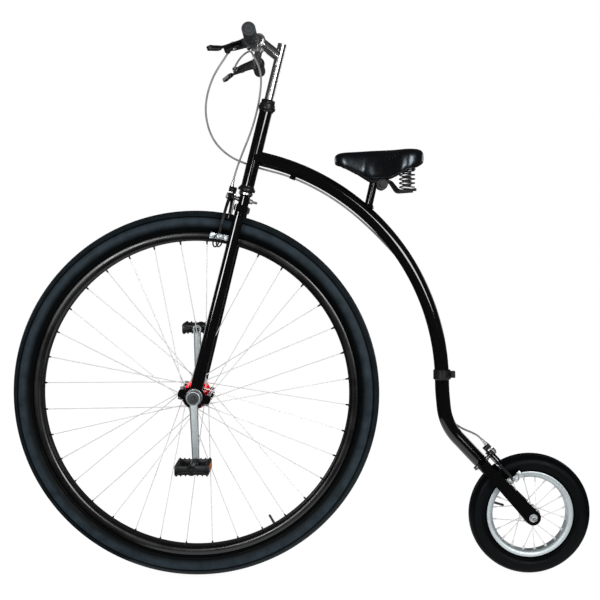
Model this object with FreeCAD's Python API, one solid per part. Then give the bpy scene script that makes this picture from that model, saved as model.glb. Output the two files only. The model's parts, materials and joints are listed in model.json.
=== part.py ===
import FreeCAD, Part
import math
import os
from FreeCAD import Vector

# Penny farthing bicycle: a large front wheel driven straight by its cranks, a small rear wheel, and one
# curved backbone tube.  All sizes are millimetres.  While it is modelled, X runs rearward from the front
# axle, Y to the rider's right and Z up from the ground.  The finished pieces are moved so that the origin
# is the rider's place on top of the saddle.

# ---------------------------------------------------------------------------------------------------------
# Driving dimensions
# ---------------------------------------------------------------------------------------------------------

WHEELBASE = 825.0
RUNNING_CLEARANCE = 0.05        # radial play of a shaft in its bearing
SEAT_CLEARANCE = 0.1            # play between two pieces of one assembly that are held together

# Front wheel: 36 inch, bead seat 787 mm
FRONT_TYRE_RADIUS = 453.5
FRONT_TYRE_WIDTH = 57.0
FRONT_TYRE_HEIGHT = 60.0        # from the bead seat to the tread
FRONT_RIM_DEPTH = 14.5          # below the bead seat
FRONT_RIM_WIDTH = 42.0
FRONT_SPOKES = 36
FRONT_SPOKE_RADIUS = 1.15
FRONT_SPOKE_CROSS_ANGLE = 60.0
FRONT_FIRST_HOLE_ANGLE = -4.6
FRONT_HUB_HOLE_RADIUS = 28.5
FRONT_HUB_FLANGE_RADIUS = 32.5
FRONT_HUB_FLANGE_OFFSET = 38.0
FRONT_HUB_FLANGE_THICKNESS = 3.2
FRONT_HUB_SHELL_RADIUS = 16.0
FRONT_HUB_END = 44.0
FRONT_VALVE_ANGLE = -59.7

# Rear wheel: 12 1/2 inch, bead seat 203 mm
REAR_TYRE_RADIUS = 150.5
REAR_TYRE_WIDTH = 48.0
REAR_TYRE_HEIGHT = 49.0
REAR_RIM_DEPTH = 9.5
REAR_RIM_WIDTH = 32.0
REAR_SPOKES = 20
REAR_SPOKE_RADIUS = 1.0
REAR_SPOKE_CROSS_ANGLE = 36.0
REAR_FIRST_HOLE_ANGLE = -9.0
REAR_HUB_HOLE_RADIUS = 19.0
REAR_HUB_FLANGE_RADIUS = 22.5
REAR_HUB_FLANGE_OFFSET = 27.0
REAR_HUB_FLANGE_THICKNESS = 3.0
REAR_HUB_SHELL_RADIUS = 14.0
REAR_HUB_END = 34.0
REAR_VALVE_ANGLE = 163.0

# Tyres and rims
TYRE_WALL = 4.0
RIM_FLANGE_HEIGHT = 5.5         # above the bead seat
RIM_FLANGE_THICKNESS = 3.0
NIPPLE_RADIUS = 2.2
NIPPLE_LENGTH = 12.0
VALVE_RADIUS = 3.0
VALVE_LENGTH = 26.0

# Steering: the axis leans back from the front axle
HEAD_ANGLE = 14.4
STEERER_RADIUS = 12.7
STEERER_WALL = 1.6
HEAD_TUBE_RADIUS = 15.9
HEAD_TUBE_WALL = 1.7
HEAD_TUBE_LENGTH = 186.0
CUP_RADIUS = 21.5
CUP_HEIGHT = 13.0
RACE_RADIUS = 17.5
RACE_HEIGHT = 9.0
CROWN_TYRE_GAP = 8.5
CROWN_HEIGHT = 18.0
CROWN_DEPTH = 34.0
COLUMN_HEIGHT = 27.0            # from the crown's top to the crown race
COLUMN_RADIUS = 12.9
BLADE_TOP_OFFSET = 46.5
BLADE_FOOT_OFFSET = 56.0
BLADE_TOP_DEPTH = 26.0
BLADE_FOOT_DEPTH = 31.0
BLADE_THICKNESS = 22.0
HOUSING_RADIUS = 27.5
HOUSING_WIDTH = 16.0
HOUSING_LUG = 40.0              # half the length of a housing over its lugs
HOUSING_BOLT_X = 33.0
CAP_LUG_THICKNESS = 9.0
BLADE_LUG_THICKNESS = 12.0
BEARING_RADIUS = 21.0
BEARING_WIDTH = 12.0
SPINDLE_RADIUS = 8.5
SPINDLE_SQUARE = 12.6

# Cranks and pedals
CRANK_LENGTH = 155.0
CRANK_LEAN = 1.6                # the left crank points down and this much to the rear
CRANK_GAP = 7.0                 # from the fork's housing to the crank
CRANK_THICKNESS = 13.0
CRANK_BOSS_RADIUS = 17.0
CRANK_EYE_RADIUS = 11.5
CRANK_BAR_ROOT_RADIUS = 10.5
CRANK_BAR_TIP_RADIUS = 8.5
CRANK_BOSS_RISE = 3.0           # outside the crank's outer face
PEDAL_SPINDLE_RADIUS = 5.5
PEDAL_THREAD_RADIUS = 7.1
PEDAL_GAP = 6.0                 # from the crank's outer face to the pedal body
PEDAL_WIDTH = 96.0
PEDAL_DEPTH = 80.0
PEDAL_HEIGHT = 27.0
PEDAL_BARREL_RADIUS = 10.5
PEDAL_RAIL = 9.0
REFLECTOR_THICKNESS = 2.5
REFLECTOR_HEIGHT = 16.0

# Stem, handlebar and controls; heights along the steering axis
STEM_RISE = 169.5               # stem's top above the head tube
STEM_INSERTION = 60.0
EXTENSION_RADIUS = 12.7
EXTENSION_DROP = 32.1           # where the extension leaves the stem, below the stem's top
BAR_REACH = 57.0                # clamp centre ahead of the steering axis
BAR_CLAMP_DROP = 6.5            # clamp centre below the stem's top
BAR_CLAMP_WIDTH = 44.0
BAR_CLAMP_WALL = 4.5
BAR_RADIUS = 11.1
BAR_WALL = 1.6
BAR_WIDTH = 595.0
BAR_DROP = 29.0
BAR_SWEEP_FORWARD = 4.0
BAR_LEVEL_HALF = 30.0
BAR_SLOPE_END = 95.0
GRIP_RADIUS = 15.5
GRIP_LENGTH = 125.0
LEVER_CLAMP_POSITION = 157.0
LEVER_CLAMP_WIDTH = 16.0
LEVER_PITCH = 33.0              # the levers point this far below the plane square to the steering axis
LEVER_PIVOT_REACH = 44.0
LEVER_BARREL_REACH = 60.0       # from the bar to the cable where it leaves the lever
LEVER_BARREL_END = 34.0         # inboard of the lever's clamp
LEVER_SLOT = 5.2
LEVER_THICKNESS = 4.6

# Backbone
BACKBONE_RADIUS = 17.5
BACKBONE_WALL = 2.0
BACKBONE_JOINT = 72.5           # above the head tube's lower end
BACKBONE_WHEEL_GAP = 155.2      # from the front tyre's rear to the upright stretch's centre line
BACKBONE_STRAIGHT = 15.0        # upright between the curve and the lean
BACKBONE_LEAN = 5.6
BACKBONE_LEAN_HEIGHT = 462.0
BACKBONE_LEAN_RADIUS = 480.0
BACKBONE_LEAN_RUN = 89.0
BACKBONE_FOOT_RADIUS = 130.0
COLLAR_ABOVE_LEAN = 36.0
COLLAR_WIDTH = 24.0
COLLAR_WALL = 4.0
COLLAR_BOLT_REACH = 26.0

# Rear fork, along the line from the rear axle to the foot of the backbone
REAR_CROWN_TYRE_GAP = 10.5
REAR_CROWN_HEIGHT = 20.0
REAR_CROWN_DEPTH = 30.0
REAR_BLADE_OFFSET = 50.0
REAR_BLADE_THICKNESS = 10.0
REAR_BLADE_TOP_RADIUS = 12.0
REAR_DROPOUT_RADIUS = 18.5
REAR_AXLE_RADIUS = 5.0          # of the threaded ends
REAR_AXLE_CORE_RADIUS = 4.6
REAR_AXLE_FREE_LENGTH = 6.5     # of thread outside each nut
REAR_WASHER_THICKNESS = 1.5
REAR_NUT_FLATS = 15.0
REAR_NUT_HEIGHT = 9.0

# Seat
SEAT_POST_RADIUS = 10.0
SEAT_POST_LEAN = 13.1
SEAT_HEAD_BEHIND = 20.0         # the rail clamp sits this far behind the post's axis
SADDLE_TOP = 1046.0
SADDLE_CLAMP_DROP = 79.0        # rail clamp's centre below the saddle's top
SADDLE_CLAMP_AHEAD = 31.0       # and ahead of the rider's place
SADDLE_CLAMP_RADIUS = 13.5
SADDLE_DEPTH = 70.0             # from the top to the skirt's lowest edge
SADDLE_NOSE_REACH = 153.0       # ahead of the rider's place
SADDLE_TAIL_REACH = 72.0
SADDLE_WIDTH = 186.0
SADDLE_NOSE_WIDTH = 58.0
SADDLE_CORNER_RADIUS = 40.0
SADDLE_FLANK_RADIUS = 150.0
SADDLE_SKIN = 9.0
RIDER_X = 492.0
SPRING_RADIUS = 14.5
SPRING_WIRE_RADIUS = 2.4
SPRING_TURNS = 5
SPRING_LENGTH = 44.0
SPRING_BEHIND = 31.0            # behind the rider's place
SPRING_SPREAD = 46.0
RAIL_RADIUS = 3.5
RAIL_ABOVE_BOLT = 7.8           # rails above the axis of the clamp's bolt

# Brakes
BRAKE_BOLT_RADIUS = 3.0
BRAKE_OUT = 33.0                # from the fork's middle plane to the parting plane of the arms
BRAKE_ARM_THICKNESS = 6.0
BRAKE_ARM_GAP = 0.6             # between the two arms' plates
BRAKE_EYE_WIDTH = 11.0
BRAKE_EYE_THICKNESS = 8.8       # along the pad's stud
BRAKE_PAD_GAP = 2.5
BRAKE_PAD_THICKNESS = 8.0
BRAKE_HOLDER_THICKNESS = 3.5
BRAKE_PAD_HEIGHT = 10.0
CABLE_RADIUS = 2.5
INNER_WIRE_RADIUS = 0.8
CABLE_GUIDE_ANGLE = 68.3        # of the guide, round the centre of the backbone's curve
CABLE_GUIDE_Y = 6.3
CABLE_SPLIT_RADIUS = 34.0       # the rear brake cable passes from handlebar to frame at this radius
CABLE_SPLIT_GAP = 0.4

# Sizes that follow from those above
FRONT_BEAD_RADIUS = FRONT_TYRE_RADIUS - FRONT_TYRE_HEIGHT
FRONT_FLANGE_RADIUS = FRONT_BEAD_RADIUS + RIM_FLANGE_HEIGHT
FRONT_RIM_INNER_RADIUS = FRONT_BEAD_RADIUS - FRONT_RIM_DEPTH
REAR_BEAD_RADIUS = REAR_TYRE_RADIUS - REAR_TYRE_HEIGHT
REAR_FLANGE_RADIUS = REAR_BEAD_RADIUS + RIM_FLANGE_HEIGHT
REAR_RIM_INNER_RADIUS = REAR_BEAD_RADIUS - REAR_RIM_DEPTH
CROWN_BOTTOM = FRONT_TYRE_RADIUS + CROWN_TYRE_GAP
CROWN_TOP = CROWN_BOTTOM + CROWN_HEIGHT
RACE_TOP = CROWN_TOP + COLUMN_HEIGHT + RACE_HEIGHT
HEAD_TUBE_BOTTOM = RACE_TOP + CUP_HEIGHT
HEAD_TUBE_TOP = HEAD_TUBE_BOTTOM + HEAD_TUBE_LENGTH
BRAKE_WIRE_OUT = BRAKE_OUT + BRAKE_ARM_GAP / 2 + BRAKE_ARM_THICKNESS + INNER_WIRE_RADIUS
STEM_RADIUS = STEERER_RADIUS - STEERER_WALL
STEM_TOP = HEAD_TUBE_TOP + STEM_RISE
BAR_CLAMP_HEIGHT = STEM_TOP - BAR_CLAMP_DROP
CRANK_INNER_FACE = BLADE_FOOT_OFFSET + HOUSING_WIDTH / 2 + CRANK_GAP
CRANK_OUTER_FACE = CRANK_INNER_FACE + CRANK_THICKNESS
SPINDLE_SHOULDER = CRANK_INNER_FACE - 2
SPINDLE_END = CRANK_OUTER_FACE - 2
BACKBONE_JOINT_HEIGHT = HEAD_TUBE_BOTTOM + BACKBONE_JOINT
BACKBONE_BACK = FRONT_TYRE_RADIUS + BACKBONE_WHEEL_GAP
BACKBONE_FOOT_HEIGHT = BACKBONE_LEAN_HEIGHT - BACKBONE_LEAN_RUN
COLLAR_HEIGHT = BACKBONE_LEAN_HEIGHT + COLLAR_ABOVE_LEAN
COLLAR_RADIUS = BACKBONE_RADIUS + COLLAR_WALL
REAR_CROWN_BOTTOM = REAR_TYRE_RADIUS + REAR_CROWN_TYRE_GAP
REAR_BLADE_OUTER = REAR_BLADE_OFFSET + REAR_BLADE_THICKNESS / 2
REAR_BLADE_INNER = REAR_BLADE_OFFSET - REAR_BLADE_THICKNESS / 2
REAR_NUT_FACE = REAR_BLADE_OUTER + REAR_WASHER_THICKNESS + REAR_NUT_HEIGHT
SADDLE_NOSE = RIDER_X - SADDLE_NOSE_REACH
SADDLE_TAIL = RIDER_X + SADDLE_TAIL_REACH
SADDLE_SKIRT = SADDLE_TOP - SADDLE_DEPTH
SADDLE_PLATE = SADDLE_TOP - 24
SPRING_X = RIDER_X + SPRING_BEHIND
SPRING_TOP = SADDLE_PLATE - 22
SPRING_BOTTOM = SPRING_TOP - SPRING_LENGTH

LEFT = -1
RIGHT = 1
SIDES = {"left": LEFT, "right": RIGHT}

X_AXIS = Vector(1, 0, 0)
Y_AXIS = Vector(0, 1, 0)
Z_AXIS = Vector(0, 0, 1)
FRONT_AXLE = Vector(0, 0, FRONT_TYRE_RADIUS)
REAR_AXLE = Vector(WHEELBASE, 0, REAR_TYRE_RADIUS)
RIDER_PLACE = Vector(RIDER_X, 0, SADDLE_TOP)


# ---------------------------------------------------------------------------------------------------------
# Shape helpers
# ---------------------------------------------------------------------------------------------------------

def point(x, y, z):
    return Vector(x, y, z)


def rod(radius, start, end):
    """A round bar between two points."""
    direction = end - start
    return Part.makeCylinder(radius, direction.Length, start, direction)


def ring(outer, inner, start, end):
    """A round sleeve between two points."""
    return rod(outer, start, end).cut(rod(inner, start, end))


def joined(shapes):
    """Fuse shapes that are one piece of metal."""
    first = shapes[0]
    if len(shapes) == 1:
        return first
    return first.fuse(shapes[1:]).removeSplitter()


def box_between(low, high):
    """A box from its lowest to its highest corner."""
    size = high - low
    return Part.makeBox(size.x, size.y, size.z, low)


def revolved(outline, centre, axis):
    """Turn a closed list of edges a full circle about an axis."""
    face = Part.Face(Part.Wire(outline))
    return face.revolve(centre, axis, 360)


def polygon_edges(points):
    """Straight edges round a closed outline."""
    following = points[1:] + points[:1]
    return [Part.LineSegment(a, b).toShape() for a, b in zip(points, following)]


def tangent_path(points, radii):
    """Straight runs through the corner points, with a tangent arc of the given radius at each corner."""
    edges = []
    start = points[0]
    for index, radius in enumerate(radii, start=1):
        corner = points[index]
        back = (points[index - 1] - corner).normalize()
        onward = (points[index + 1] - corner).normalize()
        half_turn = (math.pi - back.getAngle(onward)) / 2
        setback = radius * math.tan(half_turn)
        arc_start = corner + back * setback
        arc_end = corner + onward * setback
        middle = corner + (back + onward).normalize() * (radius / math.cos(half_turn) - radius)
        if (arc_start - start).Length > 0.01:
            edges.append(Part.LineSegment(start, arc_start).toShape())
        edges.append(Part.Arc(arc_start, middle, arc_end).toShape())
        start = arc_end
    edges.append(Part.LineSegment(start, points[-1]).toShape())
    return Part.Wire(edges)


def cable_path(points):
    """A smooth route: every corner's arc is as large as its two straight runs allow."""
    radii = []
    for before, corner, after in zip(points, points[1:], points[2:]):
        turn = math.pi - (before - corner).getAngle(after - corner)
        shorter = min((before - corner).Length, (after - corner).Length)
        radii.append(0.45 * shorter / math.tan(turn / 2))
    return tangent_path(points, radii)


def swept_rod(path, radius):
    """A round bar along a path."""
    edge = path.OrderedEdges[0]
    start = path.OrderedVertexes[0].Point
    ahead = edge.tangentAt(edge.FirstParameter)
    circle = Part.Wire(Part.makeCircle(radius, start, ahead))
    return path.makePipeShell([circle], True, False)


def swept_tube(path, outer, wall):
    """A round tube along a path."""
    return swept_rod(path, outer).cut(swept_rod(path, outer - wall))


def tapered_outline(low_radius, high_radius, length):
    """The outline round two circles, the first at the origin and the second straight above it, in XZ."""
    lean = math.asin((low_radius - high_radius) / length)
    low_x = low_radius * math.cos(lean)
    low_z = low_radius * math.sin(lean)
    high_x = high_radius * math.cos(lean)
    high_z = length + high_radius * math.sin(lean)
    low_right = point(low_x, 0, low_z)
    low_left = point(-low_x, 0, low_z)
    high_right = point(high_x, 0, high_z)
    high_left = point(-high_x, 0, high_z)
    return Part.Wire([
        Part.Arc(low_left, point(0, 0, -low_radius), low_right).toShape(),
        Part.LineSegment(low_right, high_right).toShape(),
        Part.Arc(high_right, point(0, 0, length + high_radius), high_left).toShape(),
        Part.LineSegment(high_left, low_left).toShape(),
    ])


def tapered_bar(low_radius, high_radius, length, near, far):
    """A flat bar with round ends, standing along Z between the planes Y = near and Y = far."""
    face = Part.Face(tapered_outline(low_radius, high_radius, length))
    face.translate(point(0, min(near, far), 0))
    return face.extrude(point(0, abs(far - near), 0))


def stadium(depth, thickness, centre):
    """A flat-sided oval of arcs and lines, level at its centre."""
    radius = thickness / 2
    straight = (depth - thickness) / 2
    front = centre + point(-straight, 0, 0)
    back = centre + point(straight, 0, 0)
    side = point(0, radius, 0)
    nose = point(radius, 0, 0)
    return Part.Wire([
        Part.Arc(front + side, front - nose, front - side).toShape(),
        Part.LineSegment(front - side, back - side).toShape(),
        Part.Arc(back - side, back + nose, back + side).toShape(),
        Part.LineSegment(back + side, front + side).toShape(),
    ])


def hexagon(flats, height, start, direction):
    """A hexagon bar such as a nut or a bolt's head."""
    turn = FreeCAD.Rotation(Z_AXIS, direction)
    corners = []
    for index in range(6):
        angle = math.radians(60 * index)
        reach = flats / math.sqrt(3)
        corner = point(reach * math.cos(angle), reach * math.sin(angle), 0)
        corners.append(start + turn.multVec(corner))
    face = Part.Face(Part.Wire(polygon_edges(corners)))
    return face.extrude(Vector(direction).normalize() * height)


def link(start, start_radius, end, end_radius, near, far):
    """A flat bar with round ends between two (y, z) places, standing between the planes X = near and far."""
    along = point(0, end[0] - start[0], end[1] - start[1])
    bar = tapered_bar(start_radius, end_radius, along.Length, near, far)
    bar.rotate(Vector(0, 0, 0), Z_AXIS, -90)
    bar.rotate(Vector(0, 0, 0), X_AXIS, -math.degrees(math.atan2(along.y, along.z)))
    bar.translate(point(0, start[0], start[1]))
    return bar


def leaned_with_steering(shape):
    """Take a piece modelled upright over the front axle to the leaning steering axis."""
    copy = shape.copy()
    copy.translate(FRONT_AXLE)
    copy.rotate(FRONT_AXLE, Y_AXIS, HEAD_ANGLE)
    return copy


def steering_point(x, y, height):
    """A point given rearward of, beside and along the steering axis."""
    turn = FreeCAD.Rotation(Y_AXIS, HEAD_ANGLE)
    return FRONT_AXLE + turn.multVec(point(x, y, height))


# ---------------------------------------------------------------------------------------------------------
# Backbone layout
# ---------------------------------------------------------------------------------------------------------

def backbone_corners():
    """Corner points of the backbone's centre line, from the steering axis to the rear axle."""
    start = steering_point(0, 0, BACKBONE_JOINT_HEIGHT)
    along = steering_point(1, 0, BACKBONE_JOINT_HEIGHT) - start
    run = (BACKBONE_BACK - start.x) / along.x
    shoulder = start + along * run
    lean = point(BACKBONE_BACK, 0, BACKBONE_LEAN_HEIGHT)
    shift = BACKBONE_LEAN_RUN * math.tan(math.radians(BACKBONE_LEAN))
    foot = point(BACKBONE_BACK + shift, 0, BACKBONE_FOOT_HEIGHT)
    return start, shoulder, lean, foot


BACKBONE_START, BACKBONE_SHOULDER, BACKBONE_LEAN_POINT, BACKBONE_FOOT = backbone_corners()
REAR_FORK_LINE = (BACKBONE_FOOT - REAR_AXLE).normalize()
REAR_FORK_ANGLE = math.degrees(math.atan2(REAR_FORK_LINE.x, REAR_FORK_LINE.z))
CURVE_DROP = BACKBONE_SHOULDER.z - BACKBONE_LEAN_HEIGHT - BACKBONE_STRAIGHT
BACKBONE_CURVE_RADIUS = CURVE_DROP / math.tan(math.radians((90 - HEAD_ANGLE) / 2))
CURVE_CENTRE = point(BACKBONE_BACK - BACKBONE_CURVE_RADIUS, 0, BACKBONE_SHOULDER.z - CURVE_DROP)


def leaned_with_rear_fork(shape):
    """Take a piece modelled upright over the rear axle to the leaning rear fork."""
    copy = shape.copy()
    copy.translate(REAR_AXLE)
    copy.rotate(REAR_AXLE, Y_AXIS, REAR_FORK_ANGLE)
    return copy


def rear_fork_point(x, y, height):
    """A point given behind, beside and along the rear fork."""
    turn = FreeCAD.Rotation(Y_AXIS, REAR_FORK_ANGLE)
    return REAR_AXLE + turn.multVec(point(x, y, height))


def curve_point(angle, offset, y):
    """A point beside the backbone's curve: the angle round it, and the distance out from its centre line."""
    reach = BACKBONE_CURVE_RADIUS + offset
    turn = math.radians(angle)
    return CURVE_CENTRE + point(reach * math.cos(turn), y, reach * math.sin(turn))


# ---------------------------------------------------------------------------------------------------------
# Frame
# ---------------------------------------------------------------------------------------------------------

def head_tube():
    sleeve = ring(
        HEAD_TUBE_RADIUS,
        HEAD_TUBE_RADIUS - HEAD_TUBE_WALL,
        point(0, 0, HEAD_TUBE_BOTTOM),
        point(0, 0, HEAD_TUBE_TOP),
    )
    return leaned_with_steering(sleeve)


def headset_cups():
    """Pressed cups above and below the head tube; their skirts sit inside it."""
    skirt = HEAD_TUBE_RADIUS - HEAD_TUBE_WALL - SEAT_CLEARANCE
    bore = STEERER_RADIUS + RUNNING_CLEARANCE
    cups = []
    for base, direction in ((HEAD_TUBE_BOTTOM, -1), (HEAD_TUBE_TOP, 1)):
        outline = polygon_edges([
            point(bore, 0, base - direction * 10),
            point(skirt, 0, base - direction * 10),
            point(skirt, 0, base),
            point(HEAD_TUBE_RADIUS + 1.5, 0, base),
            point(CUP_RADIUS, 0, base + direction * 5),
            point(CUP_RADIUS, 0, base + direction * (CUP_HEIGHT - 1)),
            point(CUP_RADIUS - 1, 0, base + direction * CUP_HEIGHT),
            point(bore, 0, base + direction * CUP_HEIGHT),
        ])
        cups.append(leaned_with_steering(revolved(outline, point(0, 0, 0), Z_AXIS)))
    return Part.makeCompound(cups)


def backbone_centre_line():
    end = rear_fork_point(0, 0, REAR_CROWN_BOTTOM + REAR_CROWN_HEIGHT)
    points = [BACKBONE_START, BACKBONE_SHOULDER, BACKBONE_LEAN_POINT, BACKBONE_FOOT, end]
    radii = [BACKBONE_CURVE_RADIUS, BACKBONE_LEAN_RADIUS, BACKBONE_FOOT_RADIUS]
    return tangent_path(points, radii)


def backbone():
    """The whole curved tube, coped to the head tube and ending in the rear crown."""
    tube = swept_tube(backbone_centre_line(), BACKBONE_RADIUS, BACKBONE_WALL)
    cope = rod(HEAD_TUBE_RADIUS, point(0, 0, HEAD_TUBE_BOTTOM), point(0, 0, HEAD_TUBE_TOP))
    return tube.cut(leaned_with_steering(cope))


def below_collar():
    """The space that holds the lower part of the backbone."""
    return box_between(point(WHEELBASE / 2, -200, 0), point(WHEELBASE * 2, 200, COLLAR_HEIGHT))


def cable_guide():
    """A small block welded under the curve, with the rear brake's cable through it."""
    top = point(CURVE_CENTRE.x, 0, CURVE_CENTRE.z + BACKBONE_CURVE_RADIUS - BACKBONE_RADIUS + 1.5)
    half = CABLE_RADIUS + 2
    low = top + point(-7, CABLE_GUIDE_Y - half, -2 * half - 0.5)
    high = top + point(7, CABLE_GUIDE_Y + half, 0)
    guide = box_between(low, high)
    guide.rotate(CURVE_CENTRE, Y_AXIS, 90 - CABLE_GUIDE_ANGLE)
    return guide.cut(swept_rod(rear_cable_route(), CABLE_RADIUS + SEAT_CLEARANCE))


def backbone_upper():
    """The curve from the head tube to the collar, with the cable's guide welded under it."""
    tube = backbone().cut(below_collar())
    post = rod(SEAT_POST_RADIUS + SEAT_CLEARANCE, seat_post_root(), seat_post_top())
    fillet = Part.makeCone(
        SEAT_POST_RADIUS + 5,
        SEAT_POST_RADIUS + 1.5,
        9,
        seat_post_root() + seat_direction() * (BACKBONE_RADIUS - 3),
        seat_direction(),
    )
    return joined([tube, fillet, cable_guide()]).cut(post)


def backbone_lower():
    return backbone().common(below_collar())


def backbone_collar():
    """The split collar that joins the two parts of the backbone, with its ears behind."""
    top = COLLAR_HEIGHT + COLLAR_WIDTH / 2
    bottom = COLLAR_HEIGHT - COLLAR_WIDTH / 2
    edge = COLLAR_RADIUS - 1.5
    outline = polygon_edges([
        point(BACKBONE_RADIUS, 0, bottom),
        point(edge, 0, bottom),
        point(COLLAR_RADIUS, 0, bottom + 1.5),
        point(COLLAR_RADIUS, 0, top - 1.5),
        point(edge, 0, top),
        point(BACKBONE_RADIUS, 0, top),
    ])
    body = revolved(outline, point(0, 0, 0), Z_AXIS)
    body.translate(point(BACKBONE_BACK, 0, 0))
    centre = point(BACKBONE_BACK, 0, COLLAR_HEIGHT)
    ears = box_between(centre + point(COLLAR_RADIUS - 3, -8, -8), centre + point(COLLAR_BOLT_REACH + 6, 8, 8))
    slot = box_between(centre + point(0, -1.2, -COLLAR_WIDTH), centre + point(60, 1.2, COLLAR_WIDTH))
    collar = joined([body, ears]).cut(slot)
    tube = swept_rod(backbone_centre_line(), BACKBONE_RADIUS + SEAT_CLEARANCE)
    return joined([collar.cut(tube), cross_bolt(centre + point(COLLAR_BOLT_REACH, 0, 0), 3, 16, 10)])


def cross_bolt(centre, radius, length, head_flats):
    """A bolt and nut across the bicycle, its head on the left."""
    half = point(0, length / 2, 0)
    head = hexagon(head_flats, 5, centre - half, -Y_AXIS)
    nut = hexagon(head_flats, 5, centre + half, Y_AXIS)
    return joined([rod(radius, centre - half, centre + half), head, nut])


def rear_fork():
    """Crown, two flat blades and round dropouts, welded as one."""
    top = REAR_CROWN_BOTTOM + REAR_CROWN_HEIGHT
    depth = REAR_CROWN_DEPTH / 2
    crown = box_between(
        point(-depth, -REAR_BLADE_OUTER, REAR_CROWN_BOTTOM),
        point(depth, REAR_BLADE_OUTER, top),
    )
    edges = [edge for edge in crown.Edges if edge.BoundBox.XLength < 0.01]
    shapes = [crown.makeFillet(5, edges)]
    for side in SIDES.values():
        blade = tapered_bar(
            REAR_DROPOUT_RADIUS,
            REAR_BLADE_TOP_RADIUS,
            REAR_CROWN_BOTTOM + 8,
            side * REAR_BLADE_INNER,
            side * REAR_BLADE_OUTER,
        )
        shapes.append(blade)
    fork = joined(shapes)
    axle = rod(REAR_AXLE_CORE_RADIUS + SEAT_CLEARANCE, point(0, -100, 0), point(0, 100, 0))
    bolt = brake_bolt_hole(REAR_BRAKE)
    return leaned_with_rear_fork(fork.cut(axle).cut(bolt))


def rear_axle():
    """The axle: a plain core, and a threaded end that stands free outside each nut."""
    across = point(0, REAR_NUT_FACE, 0)
    pieces = [rod(REAR_AXLE_CORE_RADIUS, REAR_AXLE - across, REAR_AXLE + across)]
    for side in SIDES.values():
        start = REAR_AXLE + across * side
        pieces.append(rod(REAR_AXLE_RADIUS, start, start + Y_AXIS * side * REAR_AXLE_FREE_LENGTH))
    return joined(pieces)


def rear_axle_nuts():
    """Cones inside the dropouts, washers and nuts outside them."""
    pieces = []
    for side in SIDES.values():
        way = Y_AXIS * side
        hub_end = REAR_AXLE + way * (REAR_HUB_END + 0.5)
        dropout = REAR_AXLE + way * REAR_BLADE_INNER
        plate = REAR_AXLE + way * REAR_BLADE_OUTER
        cone = ring(8, REAR_AXLE_CORE_RADIUS, hub_end, dropout)
        washer = rod(10, plate, plate + way * REAR_WASHER_THICKNESS)
        nut = hexagon(REAR_NUT_FLATS, REAR_NUT_HEIGHT, plate + way * REAR_WASHER_THICKNESS, way)
        core = rod(REAR_AXLE_CORE_RADIUS, REAR_AXLE, REAR_AXLE + way * 100)
        pieces.append(cone)
        pieces.append(joined([washer, nut]).cut(core))
    return Part.makeCompound(pieces)


# ---------------------------------------------------------------------------------------------------------
# Seat
# ---------------------------------------------------------------------------------------------------------

def seat_direction():
    lean = math.radians(SEAT_POST_LEAN)
    return point(math.sin(lean), 0, math.cos(lean))


def seat_post_top():
    """Where the post's axis ends, level with the rail clamp and ahead of it."""
    return point(SADDLE_CLAMP_CENTRE.x - SEAT_HEAD_BEHIND, 0, SADDLE_CLAMP_CENTRE.z + 4)


def seat_post_root():
    """Where the post's axis meets the backbone's centre line on its curve."""
    top = seat_post_top() - CURVE_CENTRE
    along = seat_direction()
    ahead = top.dot(along)
    travel = ahead - math.sqrt(ahead**2 - top.dot(top) + BACKBONE_CURVE_RADIUS**2)
    return seat_post_top() - along * travel


def seat_post():
    """The plain post, and its head that reaches back under the saddle's rails."""
    post = rod(SEAT_POST_RADIUS, seat_post_root(), seat_post_top())
    half = point(0, 13, 0)
    head = rod(SEAT_POST_RADIUS + 0.5, SADDLE_CLAMP_CENTRE - half, SADDLE_CLAMP_CENTRE + half)
    neck = rod(8, seat_post_top() - seat_direction() * 6, SADDLE_CLAMP_CENTRE)
    body = joined([post, head, neck])
    bolt = rod(4 + SEAT_CLEARANCE, SADDLE_CLAMP_CENTRE - half * 2, SADDLE_CLAMP_CENTRE + half * 2)
    return body.cut(bolt)


SADDLE_CLAMP_CENTRE = point(RIDER_X - SADDLE_CLAMP_AHEAD, 0.0, SADDLE_TOP - SADDLE_CLAMP_DROP)


def saddle_clamp():
    """Two serrated cheeks beside the post's head, which pinch the rails, and the bolt through them."""
    pieces = []
    for side in SIDES.values():
        near = SADDLE_CLAMP_CENTRE + Y_AXIS * side * 13.3
        far = near + Y_AXIS * side * 12
        cheek = rod(SADDLE_CLAMP_RADIUS, near, far)
        washer = rod(9, far, far + Y_AXIS * side * 1.5)
        pieces.append(joined([cheek, washer]).cut(saddle_rail(side, SEAT_CLEARANCE)))
    body = Part.makeCompound(pieces)
    bolt = cross_bolt(SADDLE_CLAMP_CENTRE, 4, 53.6, 13)
    return joined(pieces + [bolt])


def saddle_rail(side, margin):
    """One wire of the saddle's frame, from the nose past the clamp to its spring."""
    clamp = SADDLE_CLAMP_CENTRE
    foot = SPRING_BOTTOM - RAIL_RADIUS
    points = [
        point(SADDLE_NOSE + 22, side * 8, SADDLE_PLATE - 4),
        point(SADDLE_NOSE + 60, side * 15, SADDLE_PLATE - 24),
        point(clamp.x - 25, side * 19.3, clamp.z + RAIL_ABOVE_BOLT),
        point(clamp.x + 20, side * 19.3, clamp.z + RAIL_ABOVE_BOLT),
        point(SPRING_X - SPRING_RADIUS - 9, side * (SPRING_SPREAD - 8), foot - 3),
        point(SPRING_X + SPRING_RADIUS + 4, side * SPRING_SPREAD, foot),
    ]
    return swept_rod(tangent_path(points, [30, 30, 14, 14]), RAIL_RADIUS + margin)


def saddle_rails():
    return Part.makeCompound([saddle_rail(side, 0) for side in SIDES.values()])


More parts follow.
